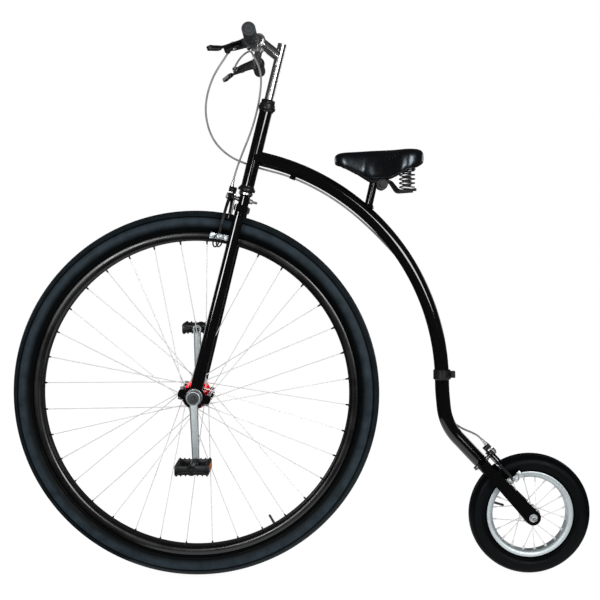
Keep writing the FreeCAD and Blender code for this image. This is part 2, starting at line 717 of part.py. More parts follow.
def saddle_springs():
    """Two coil springs between the rails and the saddle's base."""
    height = SPRING_LENGTH - 2 * SPRING_WIRE_RADIUS - 2 * SEAT_CLEARANCE
    helix = Part.makeHelix(height / SPRING_TURNS, height, SPRING_RADIUS)
    start = point(SPRING_RADIUS, 0, 0)
    circle = Part.Wire(Part.makeCircle(SPRING_WIRE_RADIUS, start, Y_AXIS))
    coil = Part.Wire(helix).makePipeShell([circle], True, True)
    springs = []
    for side in SIDES.values():
        spring = coil.copy()
        foot = SPRING_BOTTOM + SPRING_WIRE_RADIUS + SEAT_CLEARANCE
        spring.translate(point(SPRING_X, side * SPRING_SPREAD, foot))
        springs.append(spring)
    return Part.makeCompound(springs)


def saddle_plan(margin):
    """The saddle seen from above: a round nose, hollow flanks and a tail with round corners.

    The flanks' arcs touch the nose's and the corners' circles, so a margin changes the radii alone.
    """
    nose = point(SADDLE_NOSE + SADDLE_NOSE_WIDTH / 2, 0, 0)
    corner = point(SADDLE_TAIL - SADDLE_CORNER_RADIUS, SADDLE_WIDTH / 2 - SADDLE_CORNER_RADIUS, 0)
    nose_radius = SADDLE_NOSE_WIDTH / 2
    to_nose = nose_radius + SADDLE_FLANK_RADIUS
    to_corner = SADDLE_CORNER_RADIUS + SADDLE_FLANK_RADIUS
    apart = (corner - nose).Length
    opening = math.acos((apart**2 + to_nose**2 - to_corner**2) / (2 * apart * to_nose))
    bearing = math.atan2(corner.y, corner.x - nose.x) + opening
    flank = nose + point(math.cos(bearing), math.sin(bearing), 0) * to_nose
    nose_touch = nose + (flank - nose).normalize() * (nose_radius - margin)
    corner_touch = corner + (flank - corner).normalize() * (SADDLE_CORNER_RADIUS - margin)
    waist = (nose_touch + corner_touch) * 0.5
    flank_middle = flank + (waist - flank).normalize() * (SADDLE_FLANK_RADIUS + margin)
    corner_middle = corner + point(1, 1, 0).normalize() * (SADDLE_CORNER_RADIUS - margin)
    tail = corner + point(SADDLE_CORNER_RADIUS - margin, 0, 0)
    mirrored = [point(p.x, -p.y, 0) for p in (nose_touch, flank_middle, corner_touch, corner_middle, tail)]
    return Part.Wire([
        Part.Arc(mirrored[0], nose - point(nose_radius - margin, 0, 0), nose_touch).toShape(),
        Part.Arc(nose_touch, flank_middle, corner_touch).toShape(),
        Part.Arc(corner_touch, corner_middle, tail).toShape(),
        Part.LineSegment(tail, mirrored[4]).toShape(),
        Part.Arc(mirrored[4], mirrored[3], mirrored[2]).toShape(),
        Part.Arc(mirrored[2], mirrored[1], mirrored[0]).toShape(),
    ])


def saddle_side():
    """The saddle seen from the side: a near-level top over a skirt that is deepest ahead of the middle."""
    corners = [
        point(SADDLE_NOSE - 5, -200, SADDLE_TOP - 5),
        point(SADDLE_NOSE - 5, -200, SADDLE_TOP - 32),
        point(SADDLE_NOSE + 25, -200, SADDLE_TOP - 42),
        point(SADDLE_NOSE + 88, -200, SADDLE_SKIRT),
        point(SADDLE_NOSE + 144, -200, SADDLE_SKIRT),
        point(SADDLE_NOSE + 202, -200, SADDLE_TOP - 45),
        point(SADDLE_TAIL + 5, -200, SADDLE_TOP - 34),
        point(SADDLE_TAIL + 5, -200, SADDLE_TOP + 10),
        point(SADDLE_NOSE + 110, -200, SADDLE_TOP + 10),
        point(SADDLE_NOSE + 100, -200, SADDLE_TOP),
    ]
    return Part.Face(Part.Wire(polygon_edges(corners))).extrude(point(0, 400, 0))


def saddle():
    """The padded cover: a shell open below, with soft upper edges."""
    outer = Part.Face(saddle_plan(0)).extrude(point(0, 0, SADDLE_DEPTH + 10))
    outer.translate(point(0, 0, SADDLE_SKIRT - 10))
    top_edges = [edge for edge in outer.Edges if edge.BoundBox.ZMin > SADDLE_TOP - 0.1]
    outer = outer.makeFillet(14, top_edges)
    inner = Part.Face(saddle_plan(SADDLE_SKIN)).extrude(point(0, 0, SADDLE_DEPTH))
    inner.translate(point(0, 0, SADDLE_PLATE + 4 + SEAT_CLEARANCE - SADDLE_DEPTH))
    return outer.cut(inner).common(saddle_side())


def saddle_base():
    """The plate inside the cover that carries the springs."""
    plate = Part.Face(saddle_plan(SADDLE_SKIN + 3 * SEAT_CLEARANCE)).extrude(point(0, 0, 4))
    plate.translate(point(0, 0, SADDLE_PLATE))
    posts = []
    for side in SIDES.values():
        top = point(SPRING_X, side * SPRING_SPREAD, SADDLE_PLATE + 1)
        foot = point(SPRING_X, side * SPRING_SPREAD, SPRING_TOP)
        posts.append(rod(SPRING_RADIUS + SPRING_WIRE_RADIUS, foot, foot + Z_AXIS * 3))
        posts.append(rod(8, foot, top))
    nose = point(SADDLE_NOSE + 22, 0, SADDLE_PLATE - 3)
    bracket = rod(6, nose - point(0, 14, 0), nose + point(0, 14, 0))
    body = joined([plate, bracket] + posts)
    for side in SIDES.values():
        body = body.cut(saddle_rail(side, SEAT_CLEARANCE))
    return body


# ---------------------------------------------------------------------------------------------------------
# Steering
# ---------------------------------------------------------------------------------------------------------

def fork_crown():
    """Crown block over the tyre, its column and the steerer up through the head tube."""
    half_width = BLADE_TOP_OFFSET + BLADE_THICKNESS / 2
    depth = CROWN_DEPTH / 2
    block = box_between(point(-depth, -half_width, CROWN_BOTTOM), point(depth, half_width, CROWN_TOP))
    edges = [edge for edge in block.Edges if edge.BoundBox.XLength < 0.01]
    block = block.makeFillet(6, edges)
    seat = CROWN_TOP + COLUMN_HEIGHT
    column = rod(COLUMN_RADIUS, point(0, 0, CROWN_TOP - 1), point(0, 0, seat))
    collar = Part.makeCone(COLUMN_RADIUS, RACE_RADIUS - 1, 4, point(0, 0, seat - 4), Z_AXIS)
    steerer_top = HEAD_TUBE_TOP + CUP_HEIGHT + 16
    steerer = rod(STEERER_RADIUS, point(0, 0, CROWN_TOP - 1), point(0, 0, steerer_top))
    crown = joined([block, column, collar, steerer])
    bore_bottom = HEAD_TUBE_TOP - STEM_INSERTION - 5
    bore = rod(STEM_RADIUS + SEAT_CLEARANCE, point(0, 0, bore_bottom), point(0, 0, STEM_TOP))
    return leaned_with_steering(crown.cut(bore).cut(brake_bolt_hole(FRONT_BRAKE)))


def fork_blade(side):
    """One blade: a flat oval that swells toward the axle and ends in the upper half of its housing."""
    top = stadium(BLADE_TOP_DEPTH, BLADE_THICKNESS, point(0, side * BLADE_TOP_OFFSET, CROWN_BOTTOM))
    foot = stadium(BLADE_FOOT_DEPTH, BLADE_THICKNESS, point(0, side * BLADE_FOOT_OFFSET, 0))
    blade = Part.makeLoft([foot, top], True, True)
    half = HOUSING_WIDTH / 2
    centre = side * BLADE_FOOT_OFFSET
    inner = point(0, centre - half, 0)
    outer = point(0, centre + half, 0)
    housing = rod(HOUSING_RADIUS, inner, outer)
    lugs = box_between(
        point(-HOUSING_LUG, centre - half, 0),
        point(HOUSING_LUG, centre + half, BLADE_LUG_THICKNESS),
    )
    top_of_lugs = BLADE_LUG_THICKNESS - 1
    edges = [edge for edge in lugs.Edges if edge.BoundBox.YLength > 10 and edge.BoundBox.ZMin > top_of_lugs]
    lugs = lugs.makeFillet(BLADE_LUG_THICKNESS * 0.58, edges)
    body = joined([blade, housing, lugs])
    body = body.cut(box_between(point(-60, centre - 30, -60), point(60, centre + 30, 0)))
    return leaned_with_steering(body.cut(housing_holes(side)))


def housing_holes(side):
    """The bearing's seat and the two bolt holes of one housing."""
    centre = side * BLADE_FOOT_OFFSET
    seat = rod(BEARING_RADIUS + SEAT_CLEARANCE, point(0, centre - 30, 0), point(0, centre + 30, 0))
    holes = [seat]
    for x in (-HOUSING_BOLT_X, HOUSING_BOLT_X):
        holes.append(rod(3 + SEAT_CLEARANCE, point(x, centre, -30), point(x, centre, 30)))
    return Part.makeCompound(holes)


def bearing_cap(side):
    """The lower half of a housing, bolted up to the blade."""
    half = HOUSING_WIDTH / 2
    centre = side * BLADE_FOOT_OFFSET
    inner = point(0, centre - half, 0)
    outer = point(0, centre + half, 0)
    lugs = box_between(
        point(-HOUSING_LUG, centre - half, -CAP_LUG_THICKNESS),
        point(HOUSING_LUG, centre + half, 0),
    )
    foot = 1 - CAP_LUG_THICKNESS
    edges = [edge for edge in lugs.Edges if edge.BoundBox.YLength > 10 and edge.BoundBox.ZMax < foot]
    lugs = lugs.makeFillet(CAP_LUG_THICKNESS * 0.66, edges)
    cap = joined([rod(HOUSING_RADIUS, inner, outer), lugs])
    cap = cap.cut(box_between(point(-60, centre - 30, 0), point(60, centre + 30, 60)))
    return leaned_with_steering(cap.cut(housing_holes(side)))


def bearing_cap_bolts():
    """Four bolts that hold the two caps."""
    bolts = []
    for side in SIDES.values():
        y = side * BLADE_FOOT_OFFSET
        for x in (-HOUSING_BOLT_X, HOUSING_BOLT_X):
            under = point(x, y, -CAP_LUG_THICKNESS)
            over = point(x, y, BLADE_LUG_THICKNESS)
            head = rod(5, under - Z_AXIS * 5, under)
            nut = hexagon(10, 5, over, Z_AXIS)
            bolts.append(leaned_with_steering(joined([rod(3, under, over), head, nut])))
    return bolts


def fork_bearings():
    """The two bearings of the front spindle, and the race that the head tube turns on."""
    rings = []
    for side in SIDES.values():
        start = point(0, side * BLADE_FOOT_OFFSET - BEARING_WIDTH / 2, 0)
        end = point(0, side * BLADE_FOOT_OFFSET + BEARING_WIDTH / 2, 0)
        rings.append(leaned_with_steering(ring(BEARING_RADIUS, SPINDLE_RADIUS + RUNNING_CLEARANCE, start, end)))
    seat = CROWN_TOP + COLUMN_HEIGHT
    inner = STEERER_RADIUS + SEAT_CLEARANCE
    race = revolved(polygon_edges([
        point(inner, 0, seat),
        point(RACE_RADIUS, 0, seat),
        point(RACE_RADIUS, 0, seat + 5),
        point(RACE_RADIUS - 2.5, 0, RACE_TOP - 0.3),
        point(inner, 0, RACE_TOP - 0.3),
    ]), point(0, 0, 0), Z_AXIS)
    rings.append(leaned_with_steering(race))
    return Part.makeCompound(rings)


def headset_locknut():
    """The adjusting race and locknut on top of the upper cup."""
    base = HEAD_TUBE_TOP + CUP_HEIGHT + 0.3
    race = rod(19, point(0, 0, base), point(0, 0, base + 6))
    nut = hexagon(33, 9, point(0, 0, base + 6), Z_AXIS)
    bore = rod(STEERER_RADIUS + SEAT_CLEARANCE, point(0, 0, base - 5), point(0, 0, base + 50))
    return leaned_with_steering(joined([race, nut]).cut(bore))


def stem():
    """Quill post with its wedge bolt, and the extension that rises forward to the bar clamp."""
    post = rod(STEM_RADIUS, point(0, 0, HEAD_TUBE_TOP - STEM_INSERTION), point(0, 0, STEM_TOP))
    clamp_centre = point(-BAR_REACH, 0, BAR_CLAMP_HEIGHT)
    extension = rod(EXTENSION_RADIUS, point(0, 0, STEM_TOP - EXTENSION_DROP), clamp_centre)
    half = point(0, BAR_CLAMP_WIDTH / 2, 0)
    clamp = rod(BAR_RADIUS + BAR_CLAMP_WALL, clamp_centre - half, clamp_centre + half)
    ears = box_between(
        clamp_centre + point(-13, -9, -26),
        clamp_centre + point(11, 9, 0),
    )
    body = joined([post, extension, clamp, ears])
    bar_hole = swept_rod(bar_path(), BAR_RADIUS + SEAT_CLEARANCE)
    well = rod(6, point(0, 0, STEM_TOP - 12), point(0, 0, STEM_TOP + 5))
    slot = box_between(clamp_centre + point(-2, -30, -40), clamp_centre + point(0, 30, 0))
    pinch = clamp_centre + point(0, 0, -19)
    hole = rod(3 + SEAT_CLEARANCE, pinch - point(20, 0, 0), pinch + point(20, 0, 0))
    recess = rod(6.5, pinch + point(11, 0, 0), pinch + point(30, 0, 0))
    return leaned_with_steering(body.cut(bar_hole).cut(well).cut(slot).cut(hole).cut(recess))


def stem_bolts():
    """The wedge bolt in the post's top and the pinch bolt under the bar."""
    wedge = hexagon(9, 8, point(0, 0, STEM_TOP - 12), Z_AXIS)
    pinch_centre = point(-BAR_REACH, 0, BAR_CLAMP_HEIGHT - 19)
    front = pinch_centre - point(13, 0, 0)
    rear = pinch_centre + point(11, 0, 0)
    pinch = joined([
        rod(4.5, front - point(5, 0, 0), front),
        rod(3, front, rear),
        hexagon(10, 5, rear, X_AXIS),
    ])
    return [leaned_with_steering(wedge), leaned_with_steering(pinch)]


def bar_path():
    """Centre line of the handlebar: level at the clamp, then down and forward a little to the grips."""
    middle = point(-BAR_REACH, 0, BAR_CLAMP_HEIGHT)
    drop = point(-BAR_SWEEP_FORWARD, 0, -BAR_DROP)
    points = [
        middle + drop + point(0, -BAR_WIDTH / 2, 0),
        middle + drop + point(0, -BAR_SLOPE_END, 0),
        middle + point(0, -BAR_LEVEL_HALF, 0),
        middle + point(0, BAR_LEVEL_HALF, 0),
        middle + drop + point(0, BAR_SLOPE_END, 0),
        middle + drop + point(0, BAR_WIDTH / 2, 0),
    ]
    return tangent_path(points, [45, 32, 32, 45])


def handlebar():
    return leaned_with_steering(swept_tube(bar_path(), BAR_RADIUS, BAR_WALL))


def bar_end(side, distance):
    """A point on the straight outer stretch of the handlebar."""
    return point(-BAR_REACH - BAR_SWEEP_FORWARD, side * distance, BAR_CLAMP_HEIGHT - BAR_DROP)


def grip(side):
    """A ribbed rubber grip, closed at its end."""
    end = BAR_WIDTH / 2
    start = end - GRIP_LENGTH
    axis_start = bar_end(side, start)
    sleeve = rod(GRIP_RADIUS, axis_start, bar_end(side, end + 3))
    flange = rod(GRIP_RADIUS + 2.5, axis_start, bar_end(side, start + 4))
    bore = rod(BAR_RADIUS + SEAT_CLEARANCE, bar_end(side, start - 5), bar_end(side, end))
    return leaned_with_steering(joined([sleeve, flange]).cut(bore))


def lever_frame(side, shape):
    """Place a lever piece modelled with the bar along Y at the origin and reaching along -X."""
    copy = shape.copy()
    if side == RIGHT:
        copy = copy.mirror(Vector(0, 0, 0), Y_AXIS)
    copy.rotate(Vector(0, 0, 0), Y_AXIS, -LEVER_PITCH)
    copy.translate(bar_end(side, LEVER_CLAMP_POSITION))
    return leaned_with_steering(copy)


def lever_body(side):
    """Clamp, bracket and cable barrel of a brake lever, for the left side before it is placed."""
    half = LEVER_CLAMP_WIDTH / 2
    reach = LEVER_BARREL_REACH
    clamp = rod(BAR_RADIUS + 4, point(0, -half, 0), point(0, half, 0))
    pinch = rod(4.5, point(-12, -half - 2, -13), point(-12, half + 2, -13))
    bracket = tapered_bar(12, 8, LEVER_PIVOT_REACH, -7, 7)
    bracket.rotate(Vector(0, 0, 0), Y_AXIS, -90)
    fork = box_between(point(-reach - 7, -21, -7), point(-26, 4, 7))
    corners = [edge for edge in fork.Edges if edge.BoundBox.ZLength > 10]
    fork = fork.makeFillet(7, corners)
    barrel = rod(6.5, point(-reach, 2, 0), point(-reach, LEVER_BARREL_END - 12, 0))
    adjuster = rod(4.5, point(-reach, LEVER_BARREL_END - 12, 0), point(-reach, LEVER_BARREL_END, 0))
    wheel = rod(6, point(-reach, LEVER_BARREL_END - 9, 0), point(-reach, LEVER_BARREL_END - 5, 0))
    body = joined([clamp, pinch, bracket, fork, barrel, adjuster, wheel])
    body = body.cut(rod(BAR_RADIUS + SEAT_CLEARANCE, point(0, -30, 0), point(0, 30, 0)))
    slot = box_between(point(-reach - 20, -30, -LEVER_SLOT / 2), point(-30, -4, LEVER_SLOT / 2))
    pivot = rod(3 + SEAT_CLEARANCE, lever_pivot(-20), lever_pivot(20))
    return lever_frame(side, body.cut(slot).cut(pivot))


def lever_pivot(z):
    """A point on the lever's pivot, before it is placed."""
    return point(-LEVER_PIVOT_REACH, -13, z)


def lever_blade(side):
    """The finger lever: a flat eye in the bracket's slot, a curved neck and a broad finger rest."""
    neck_outline = [
        Part.Arc(point(-41, -6, 0), point(-52, -9, 0), point(-54, -19, 0)).toShape(),
        Part.Arc(point(-54, -19, 0), point(-65, -34, 0), point(-81, -45, 0)).toShape(),
        Part.LineSegment(point(-81, -45, 0), point(-71, -51, 0)).toShape(),
        Part.Arc(point(-71, -51, 0), point(-50, -36, 0), point(-38, -17, 0)).toShape(),
        Part.Arc(point(-38, -17, 0), point(-36, -10, 0), point(-41, -6, 0)).toShape(),
    ]
    neck = Part.Face(Part.Wire(neck_outline)).extrude(point(0, 0, LEVER_THICKNESS))
    neck.translate(point(0, 0, -LEVER_THICKNESS / 2))
    rest_outline = [
        Part.LineSegment(point(-70, -45, 0), point(-87, -80, 0)).toShape(),
        Part.Arc(point(-87, -80, 0), point(-96, -89, 0), point(-101, -79, 0)).toShape(),
        Part.LineSegment(point(-101, -79, 0), point(-82, -41, 0)).toShape(),
        Part.Arc(point(-82, -41, 0), point(-75, -38, 0), point(-70, -45, 0)).toShape(),
    ]
    rest = Part.Face(Part.Wire(rest_outline)).extrude(point(0, 0, 10))
    rest.translate(point(0, 0, -5))
    rims = [edge for edge in rest.Edges if edge.BoundBox.ZLength < 0.1]
    blade = joined([neck, rest.makeFillet(2.2, rims)])
    pin = rod(3, lever_pivot(-7), lever_pivot(7))
    return lever_frame(side, joined([blade, pin]))


def lever_cable_exit(side, distance):
    """Steering-axis coordinates of a point straight out of a lever's adjuster."""
    pitch = math.radians(LEVER_PITCH)
    bar = bar_end(side, LEVER_CLAMP_POSITION - LEVER_BARREL_END - distance)
    return (bar.x - LEVER_BARREL_REACH * math.cos(pitch), bar.y, bar.z - LEVER_BARREL_REACH * math.sin(pitch))


# ---------------------------------------------------------------------------------------------------------
# Brakes.  Each is a side-pull caliper on one bolt through its fork, modelled upright over the wheel's axle:
# heights are measured from the axle, and "out" is the distance from the fork's middle plane.
# ---------------------------------------------------------------------------------------------------------

class BrakePlace:
    """Where one caliper sits, and the (y, height, radius) places that its arms pass through."""

    def __init__(self, outward, bolt_height, seat, tail, cable_side, rim_width, pad_length, arm, stop, anchor):
        self.outward = outward          # -1 for a brake ahead of its fork, 1 for one behind
        self.bolt_height = bolt_height
        self.seat = seat                # from the fork's middle plane to the faces that the bolt clamps
        self.tail = tail                # how far the bolt stands out behind
        self.cable_side = cable_side
        self.rim_width = rim_width
        self.pad_length = pad_length
        self.arm = arm                  # from the bolt out and down to the pad's eye
        self.stop = stop                # end of the arm that holds the cable's housing
        self.anchor = anchor            # end of the arm that holds the cable's wire


FRONT_BRAKE = BrakePlace(
    outward=-1,
    bolt_height=CROWN_TOP + 13.5,
    seat=COLUMN_RADIUS,
    tail=20.0,
    cable_side=RIGHT,
    rim_width=FRONT_RIM_WIDTH,
    pad_length=45.0,
    arm=[
        (0, CROWN_TOP + 13.5, 10),
        (25, CROWN_TOP - 4, 7.5),
        (40, CROWN_BOTTOM - 8, 7),
        (43, FRONT_BEAD_RADIUS + 32, 6.5),
        (41, FRONT_BEAD_RADIUS - 1, 3.5),
    ],
    stop=(37.5, CROWN_TOP + 34, 6.5),
    anchor=(33.8, CROWN_TOP + 18, 6),
)
REAR_BRAKE = BrakePlace(
    outward=1,
    bolt_height=REAR_CROWN_BOTTOM + REAR_CROWN_HEIGHT / 2 + 1,
    seat=REAR_CROWN_DEPTH / 2,
    tail=9.0,
    cable_side=LEFT,
    rim_width=REAR_RIM_WIDTH,
    pad_length=39.0,
    arm=[
        (0, REAR_CROWN_BOTTOM + REAR_CROWN_HEIGHT / 2 + 1, 10),
        (22, REAR_CROWN_BOTTOM - 1, 7.5),
        (36, REAR_TYRE_RADIUS - 6, 7),
        (38, REAR_BEAD_RADIUS + 22, 6.5),
        (36, REAR_BEAD_RADIUS - 4.5, 3.5),
    ],
    stop=(36, REAR_CROWN_BOTTOM + REAR_CROWN_HEIGHT + 20, 6.5),
    anchor=(32.3, REAR_CROWN_BOTTOM + REAR_CROWN_HEIGHT + 3, 6),
)


def brake_bolt_hole(place):
    """The hole across a fork for its caliper's bolt."""
    start = point(-60, 0, place.bolt_height)
    return rod(BRAKE_BOLT_RADIUS + SEAT_CLEARANCE, start, start + point(120, 0, 0))


def brake_plate(place, side):
    """Inner and outer distance of one arm's plate; the arm opposite the cable lies outside."""
    gap = BRAKE_ARM_GAP / 2
    if side == place.cable_side:
        return BRAKE_OUT - gap - BRAKE_ARM_THICKNESS, BRAKE_OUT - gap
    return BRAKE_OUT + gap, BRAKE_OUT + gap + BRAKE_ARM_THICKNESS


def brake_point(place, out, y, height):
    return point(place.outward * out, y, height)


def pad_eye(place, side):
    """Centre of the eye that holds one pad's stud."""
    y, height, _ = place.arm[-1]
    return brake_point(place, BRAKE_OUT + 2, side * y, height)


def stop_point(place):
    """Where the cable's wire passes the horn that holds the housing."""
    y, height, _ = place.stop
    return brake_point(place, BRAKE_WIRE_OUT, place.cable_side * y, height)


def anchor_point(place):
    """Where the anchor bolt crosses the face of the outer arm."""
    y, height, _ = place.anchor
    return brake_point(place, brake_plate(place, -place.cable_side)[1], place.cable_side * y, height)


def housing_end(place):
    """Where the cable's housing meets the adjuster above its horn."""
    return stop_point(place) + point(0, 0, 14)


def brake_arm(place, side):
    """One arm: from the bolt round the tyre to its pad's eye, with a horn on the cable's side."""
    low, high = sorted(place.outward * out for out in brake_plate(place, side))
    stations = [((side * y, height), radius) for y, height, radius in place.arm]
    pieces = []
    for (start, start_radius), (end, end_radius) in zip(stations, stations[1:]):
        pieces.append(link(start, start_radius, end, end_radius, low, high))
    holds_housing = side == place.cable_side
    y, height, radius = place.stop if holds_housing else place.anchor
    pieces.append(link(stations[0][0], 8, (place.cable_side * y, height), radius, low, high))
    half = point(BRAKE_EYE_WIDTH / 2, BRAKE_EYE_THICKNESS / 2, 8)
    pieces.append(box_between(pad_eye(place, side) - half, pad_eye(place, side) + half))
    wide = point(0, 30, 0)
    stud = rod(BRAKE_BOLT_RADIUS + SEAT_CLEARANCE, pad_eye(place, side) - wide, pad_eye(place, side) + wide)
    holes = [brake_bolt_hole(place), stud]
    if holds_housing:
        inner = brake_plate(place, side)[0]
        start = brake_point(place, inner, place.cable_side * y, height)
        pieces.append(rod(radius, start, stop_point(place) + X_AXIS * place.outward * (radius - 1)))
        up = point(0, 0, 20)
        holes.append(rod(3 + SEAT_CLEARANCE, stop_point(place) - up, stop_point(place) + up))
    else:
        across = point(20, 0, 0)
        holes.append(rod(2.5 + SEAT_CLEARANCE, anchor_point(place) - across, anchor_point(place) + across))
    return joined(pieces).cut(Part.makeCompound(holes))


def brake_bolt(place):
    """The centre bolt: nut and washer behind the fork, spacers before it and a nut outside the arms."""
    way = X_AXIS * place.outward
    axis = point(0, 0, place.bolt_height)
    inner = BRAKE_OUT - BRAKE_ARM_GAP / 2 - BRAKE_ARM_THICKNESS - SEAT_CLEARANCE
    outer = BRAKE_OUT + BRAKE_ARM_GAP / 2 + BRAKE_ARM_THICKNESS + SEAT_CLEARANCE
    return joined([
        rod(BRAKE_BOLT_RADIUS, axis - way * (place.seat + place.tail), axis + way * (outer + 7)),
        rod(6.5, axis - way * (place.seat + 2), axis - way * place.seat),
        hexagon(10, 6, axis - way * (place.seat + 2), way * -1),
        rod(6, axis + way * place.seat, axis + way * (place.seat + 4)),
        rod(4.5, axis + way * place.seat, axis + way * inner),
        rod(7, axis + way * (inner - 2), axis + way * inner),
        rod(7, axis + way * outer, axis + way * (outer + 1.5)),
        hexagon(11, 5.5, axis + way * outer, way),
    ])


def brake_fittings(place):
    """The centre bolt, the cable's adjuster, the anchor bolt and the bare wire between the horns."""
    way = X_AXIS * place.outward
    stop = stop_point(place)
    half = place.stop[2]
    adjuster = joined([
        rod(3, stop - Z_AXIS * (half + 1), stop + Z_AXIS * (half + 2)),
        rod(5, stop + Z_AXIS * (half + SEAT_CLEARANCE), stop + Z_AXIS * (half + 3.5)),
        rod(4, stop + Z_AXIS * half, housing_end(place)),
    ])
    wire_hole = rod(INNER_WIRE_RADIUS + SEAT_CLEARANCE, stop - Z_AXIS * 30, stop + Z_AXIS * 30)
    face = anchor_point(place)
    pinch = face + way * (2 * INNER_WIRE_RADIUS + SEAT_CLEARANCE)
    back = face - way * (BRAKE_ARM_THICKNESS + SEAT_CLEARANCE)
    anchor_bolt = joined([
        rod(2.5, back - way * 2, pinch + way * 7),
        hexagon(7, 3, back, way * -1),
        rod(6, pinch, pinch + way * 1.8),
        hexagon(9, 5, pinch + way * 1.8, way),
    ])
    wire_end = point(stop.x, stop.y, face.z - 9)
    wire = rod(INNER_WIRE_RADIUS, housing_end(place), wire_end)
    return [brake_bolt(place), adjuster.cut(wire_hole), anchor_bolt, wire]


def along_rim(eye, inner, outer, height, length):
    """A block that follows the rim past a pad's eye, between the distances inner and outer from its middle."""
    middle = math.hypot(eye.x, eye.z)
    low = middle - height / 2
    high = middle + height / 2
    side = RIGHT if eye.y > 0 else LEFT
    start = point(0, side * inner, 0)
    end = point(0, side * outer, 0)
    sector = box_between(point(-length / 2, -200, 0), point(length / 2, 200, 2 * middle))
    block = ring(high, low, start, end).common(sector)
    block.rotate(Vector(0, 0, 0), Y_AXIS, math.degrees(math.atan2(eye.x, eye.z)))
    return block


def brake_pad(place, side):
    face = place.rim_width / 2 + BRAKE_PAD_GAP
    back = face + BRAKE_PAD_THICKNESS - SEAT_CLEARANCE
    return along_rim(pad_eye(place, side), face, back, BRAKE_PAD_HEIGHT, place.pad_length)


def pad_holder(place, side):
    """The metal shoe behind a pad, with its stud, spacer, washer and nut through the arm's eye."""
    eye = pad_eye(place, side)
    shoe = place.rim_width / 2 + BRAKE_PAD_GAP + BRAKE_PAD_THICKNESS
    back = shoe + BRAKE_HOLDER_THICKNESS

    def across(distance):
        return point(eye.x, side * distance, eye.z)

    near = abs(eye.y) - BRAKE_EYE_THICKNESS / 2 - SEAT_CLEARANCE
    far = abs(eye.y) + BRAKE_EYE_THICKNESS / 2 + SEAT_CLEARANCE
    return joined([
        along_rim(eye, shoe, back, BRAKE_PAD_HEIGHT + 2, place.pad_length + 2),
        rod(BRAKE_BOLT_RADIUS, across(back - 1), across(far + 8)),
        rod(5.5, across(back - 1), across(near)),
        rod(6, across(far), across(far + 2)),
        hexagon(9, 5, across(far + 2), Y_AXIS * side),
    ])


# ---------------------------------------------------------------------------------------------------------
# Wheels
# ---------------------------------------------------------------------------------------------------------

def tyre(centre, radius, width, bead_radius, rim_width):
    """A tyre: round tread, walls that meet it smoothly, and two beads inside the rim's flanges."""
    half = width / 2
    crown = radius - half
    bead = rim_width / 2 - RIM_FLANGE_THICKNESS - 1.2
    neck = bead_radius + RIM_FLANGE_HEIGHT + 1.5
    foot = bead_radius + 0.3

    def wall_middle(side, edge, top_half):
        """Middle of the arc from the neck, at Y = edge, up to the tread's edge, which it leaves squarely."""
        reach = top_half - edge
        rise = crown - neck
        sweep_radius = (reach**2 + rise**2) / (2 * reach)
        turn = math.asin(rise / sweep_radius) / 2
        return point(
            0,
            side * (top_half - sweep_radius + sweep_radius * math.cos(turn)),
            crown - sweep_radius * math.sin(turn),
        )

    thin = half - TYRE_WALL
    inner_bead = bead - TYRE_WALL * 0.75
    outline = [
        Part.Arc(point(0, -half, crown), point(0, 0, radius), point(0, half, crown)).toShape(),
        Part.Arc(point(0, half, crown), wall_middle(1, bead, half), point(0, bead, neck)).toShape(),
        Part.LineSegment(point(0, bead, neck), point(0, bead, foot)).toShape(),
        Part.LineSegment(point(0, bead, foot), point(0, inner_bead, foot)).toShape(),
        Part.LineSegment(point(0, inner_bead, foot), point(0, inner_bead, neck)).toShape(),
        Part.Arc(
            point(0, inner_bead, neck),
            wall_middle(1, inner_bead, thin),
            point(0, thin, crown),
        ).toShape(),
        Part.Arc(point(0, thin, crown), point(0, 0, radius - TYRE_WALL), point(0, -thin, crown)).toShape(),
        Part.Arc(
            point(0, -thin, crown),
            wall_middle(-1, inner_bead, thin),
            point(0, -inner_bead, neck),
        ).toShape(),
        Part.LineSegment(point(0, -inner_bead, neck), point(0, -inner_bead, foot)).toShape(),
        Part.LineSegment(point(0, -inner_bead, foot), point(0, -bead, foot)).toShape(),
        Part.LineSegment(point(0, -bead, foot), point(0, -bead, neck)).toShape(),
        Part.Arc(point(0, -bead, neck), wall_middle(-1, bead, half), point(0, -half, crown)).toShape(),
    ]
    body = revolved(outline, Vector(0, 0, 0), Y_AXIS)
    body.translate(centre)
    return body


def rim(centre, flange_radius, inner_radius, bead_radius, width):
    """A deep rim: two flanges, a bead seat with a well, braking sides and a flat inner face."""
    half = width / 2
    flange = half - RIM_FLANGE_THICKNESS
    seat = flange - 0.9
    foot = half - 6
    outer = polygon_edges([
        point(0, -half, flange_radius),
        point(0, -half, inner_radius + 8),
        point(0, -foot, inner_radius),
        point(0, foot, inner_radius),
        point(0, half, inner_radius + 8),
        point(0, half, flange_radius),
        point(0, flange, flange_radius),
        point(0, seat, bead_radius),
        point(0, seat - 7, bead_radius),
        point(0, 5, bead_radius - 3),
        point(0, -5, bead_radius - 3),
        point(0, 7 - seat, bead_radius),
        point(0, -seat, bead_radius),
        point(0, -flange, flange_radius),
    ])
    body = revolved(outer, Vector(0, 0, 0), Y_AXIS)
    body.translate(centre)
    return body


def flange_exit(hole_radius, flange_radius, rim_radius, cross_angle):
    """How far a spoke runs from its hole to the flange's edge, and the whole spoke's length."""
    turn = math.radians(cross_angle)
    hole = point(hole_radius * math.cos(turn), hole_radius * math.sin(turn), 0)
    across = point(rim_radius, 0, 0) - hole
    outward = hole.dot(across) / across.Length
    run = math.sqrt(outward**2 + flange_radius**2 - hole_radius**2) - outward
    return run, across.Length


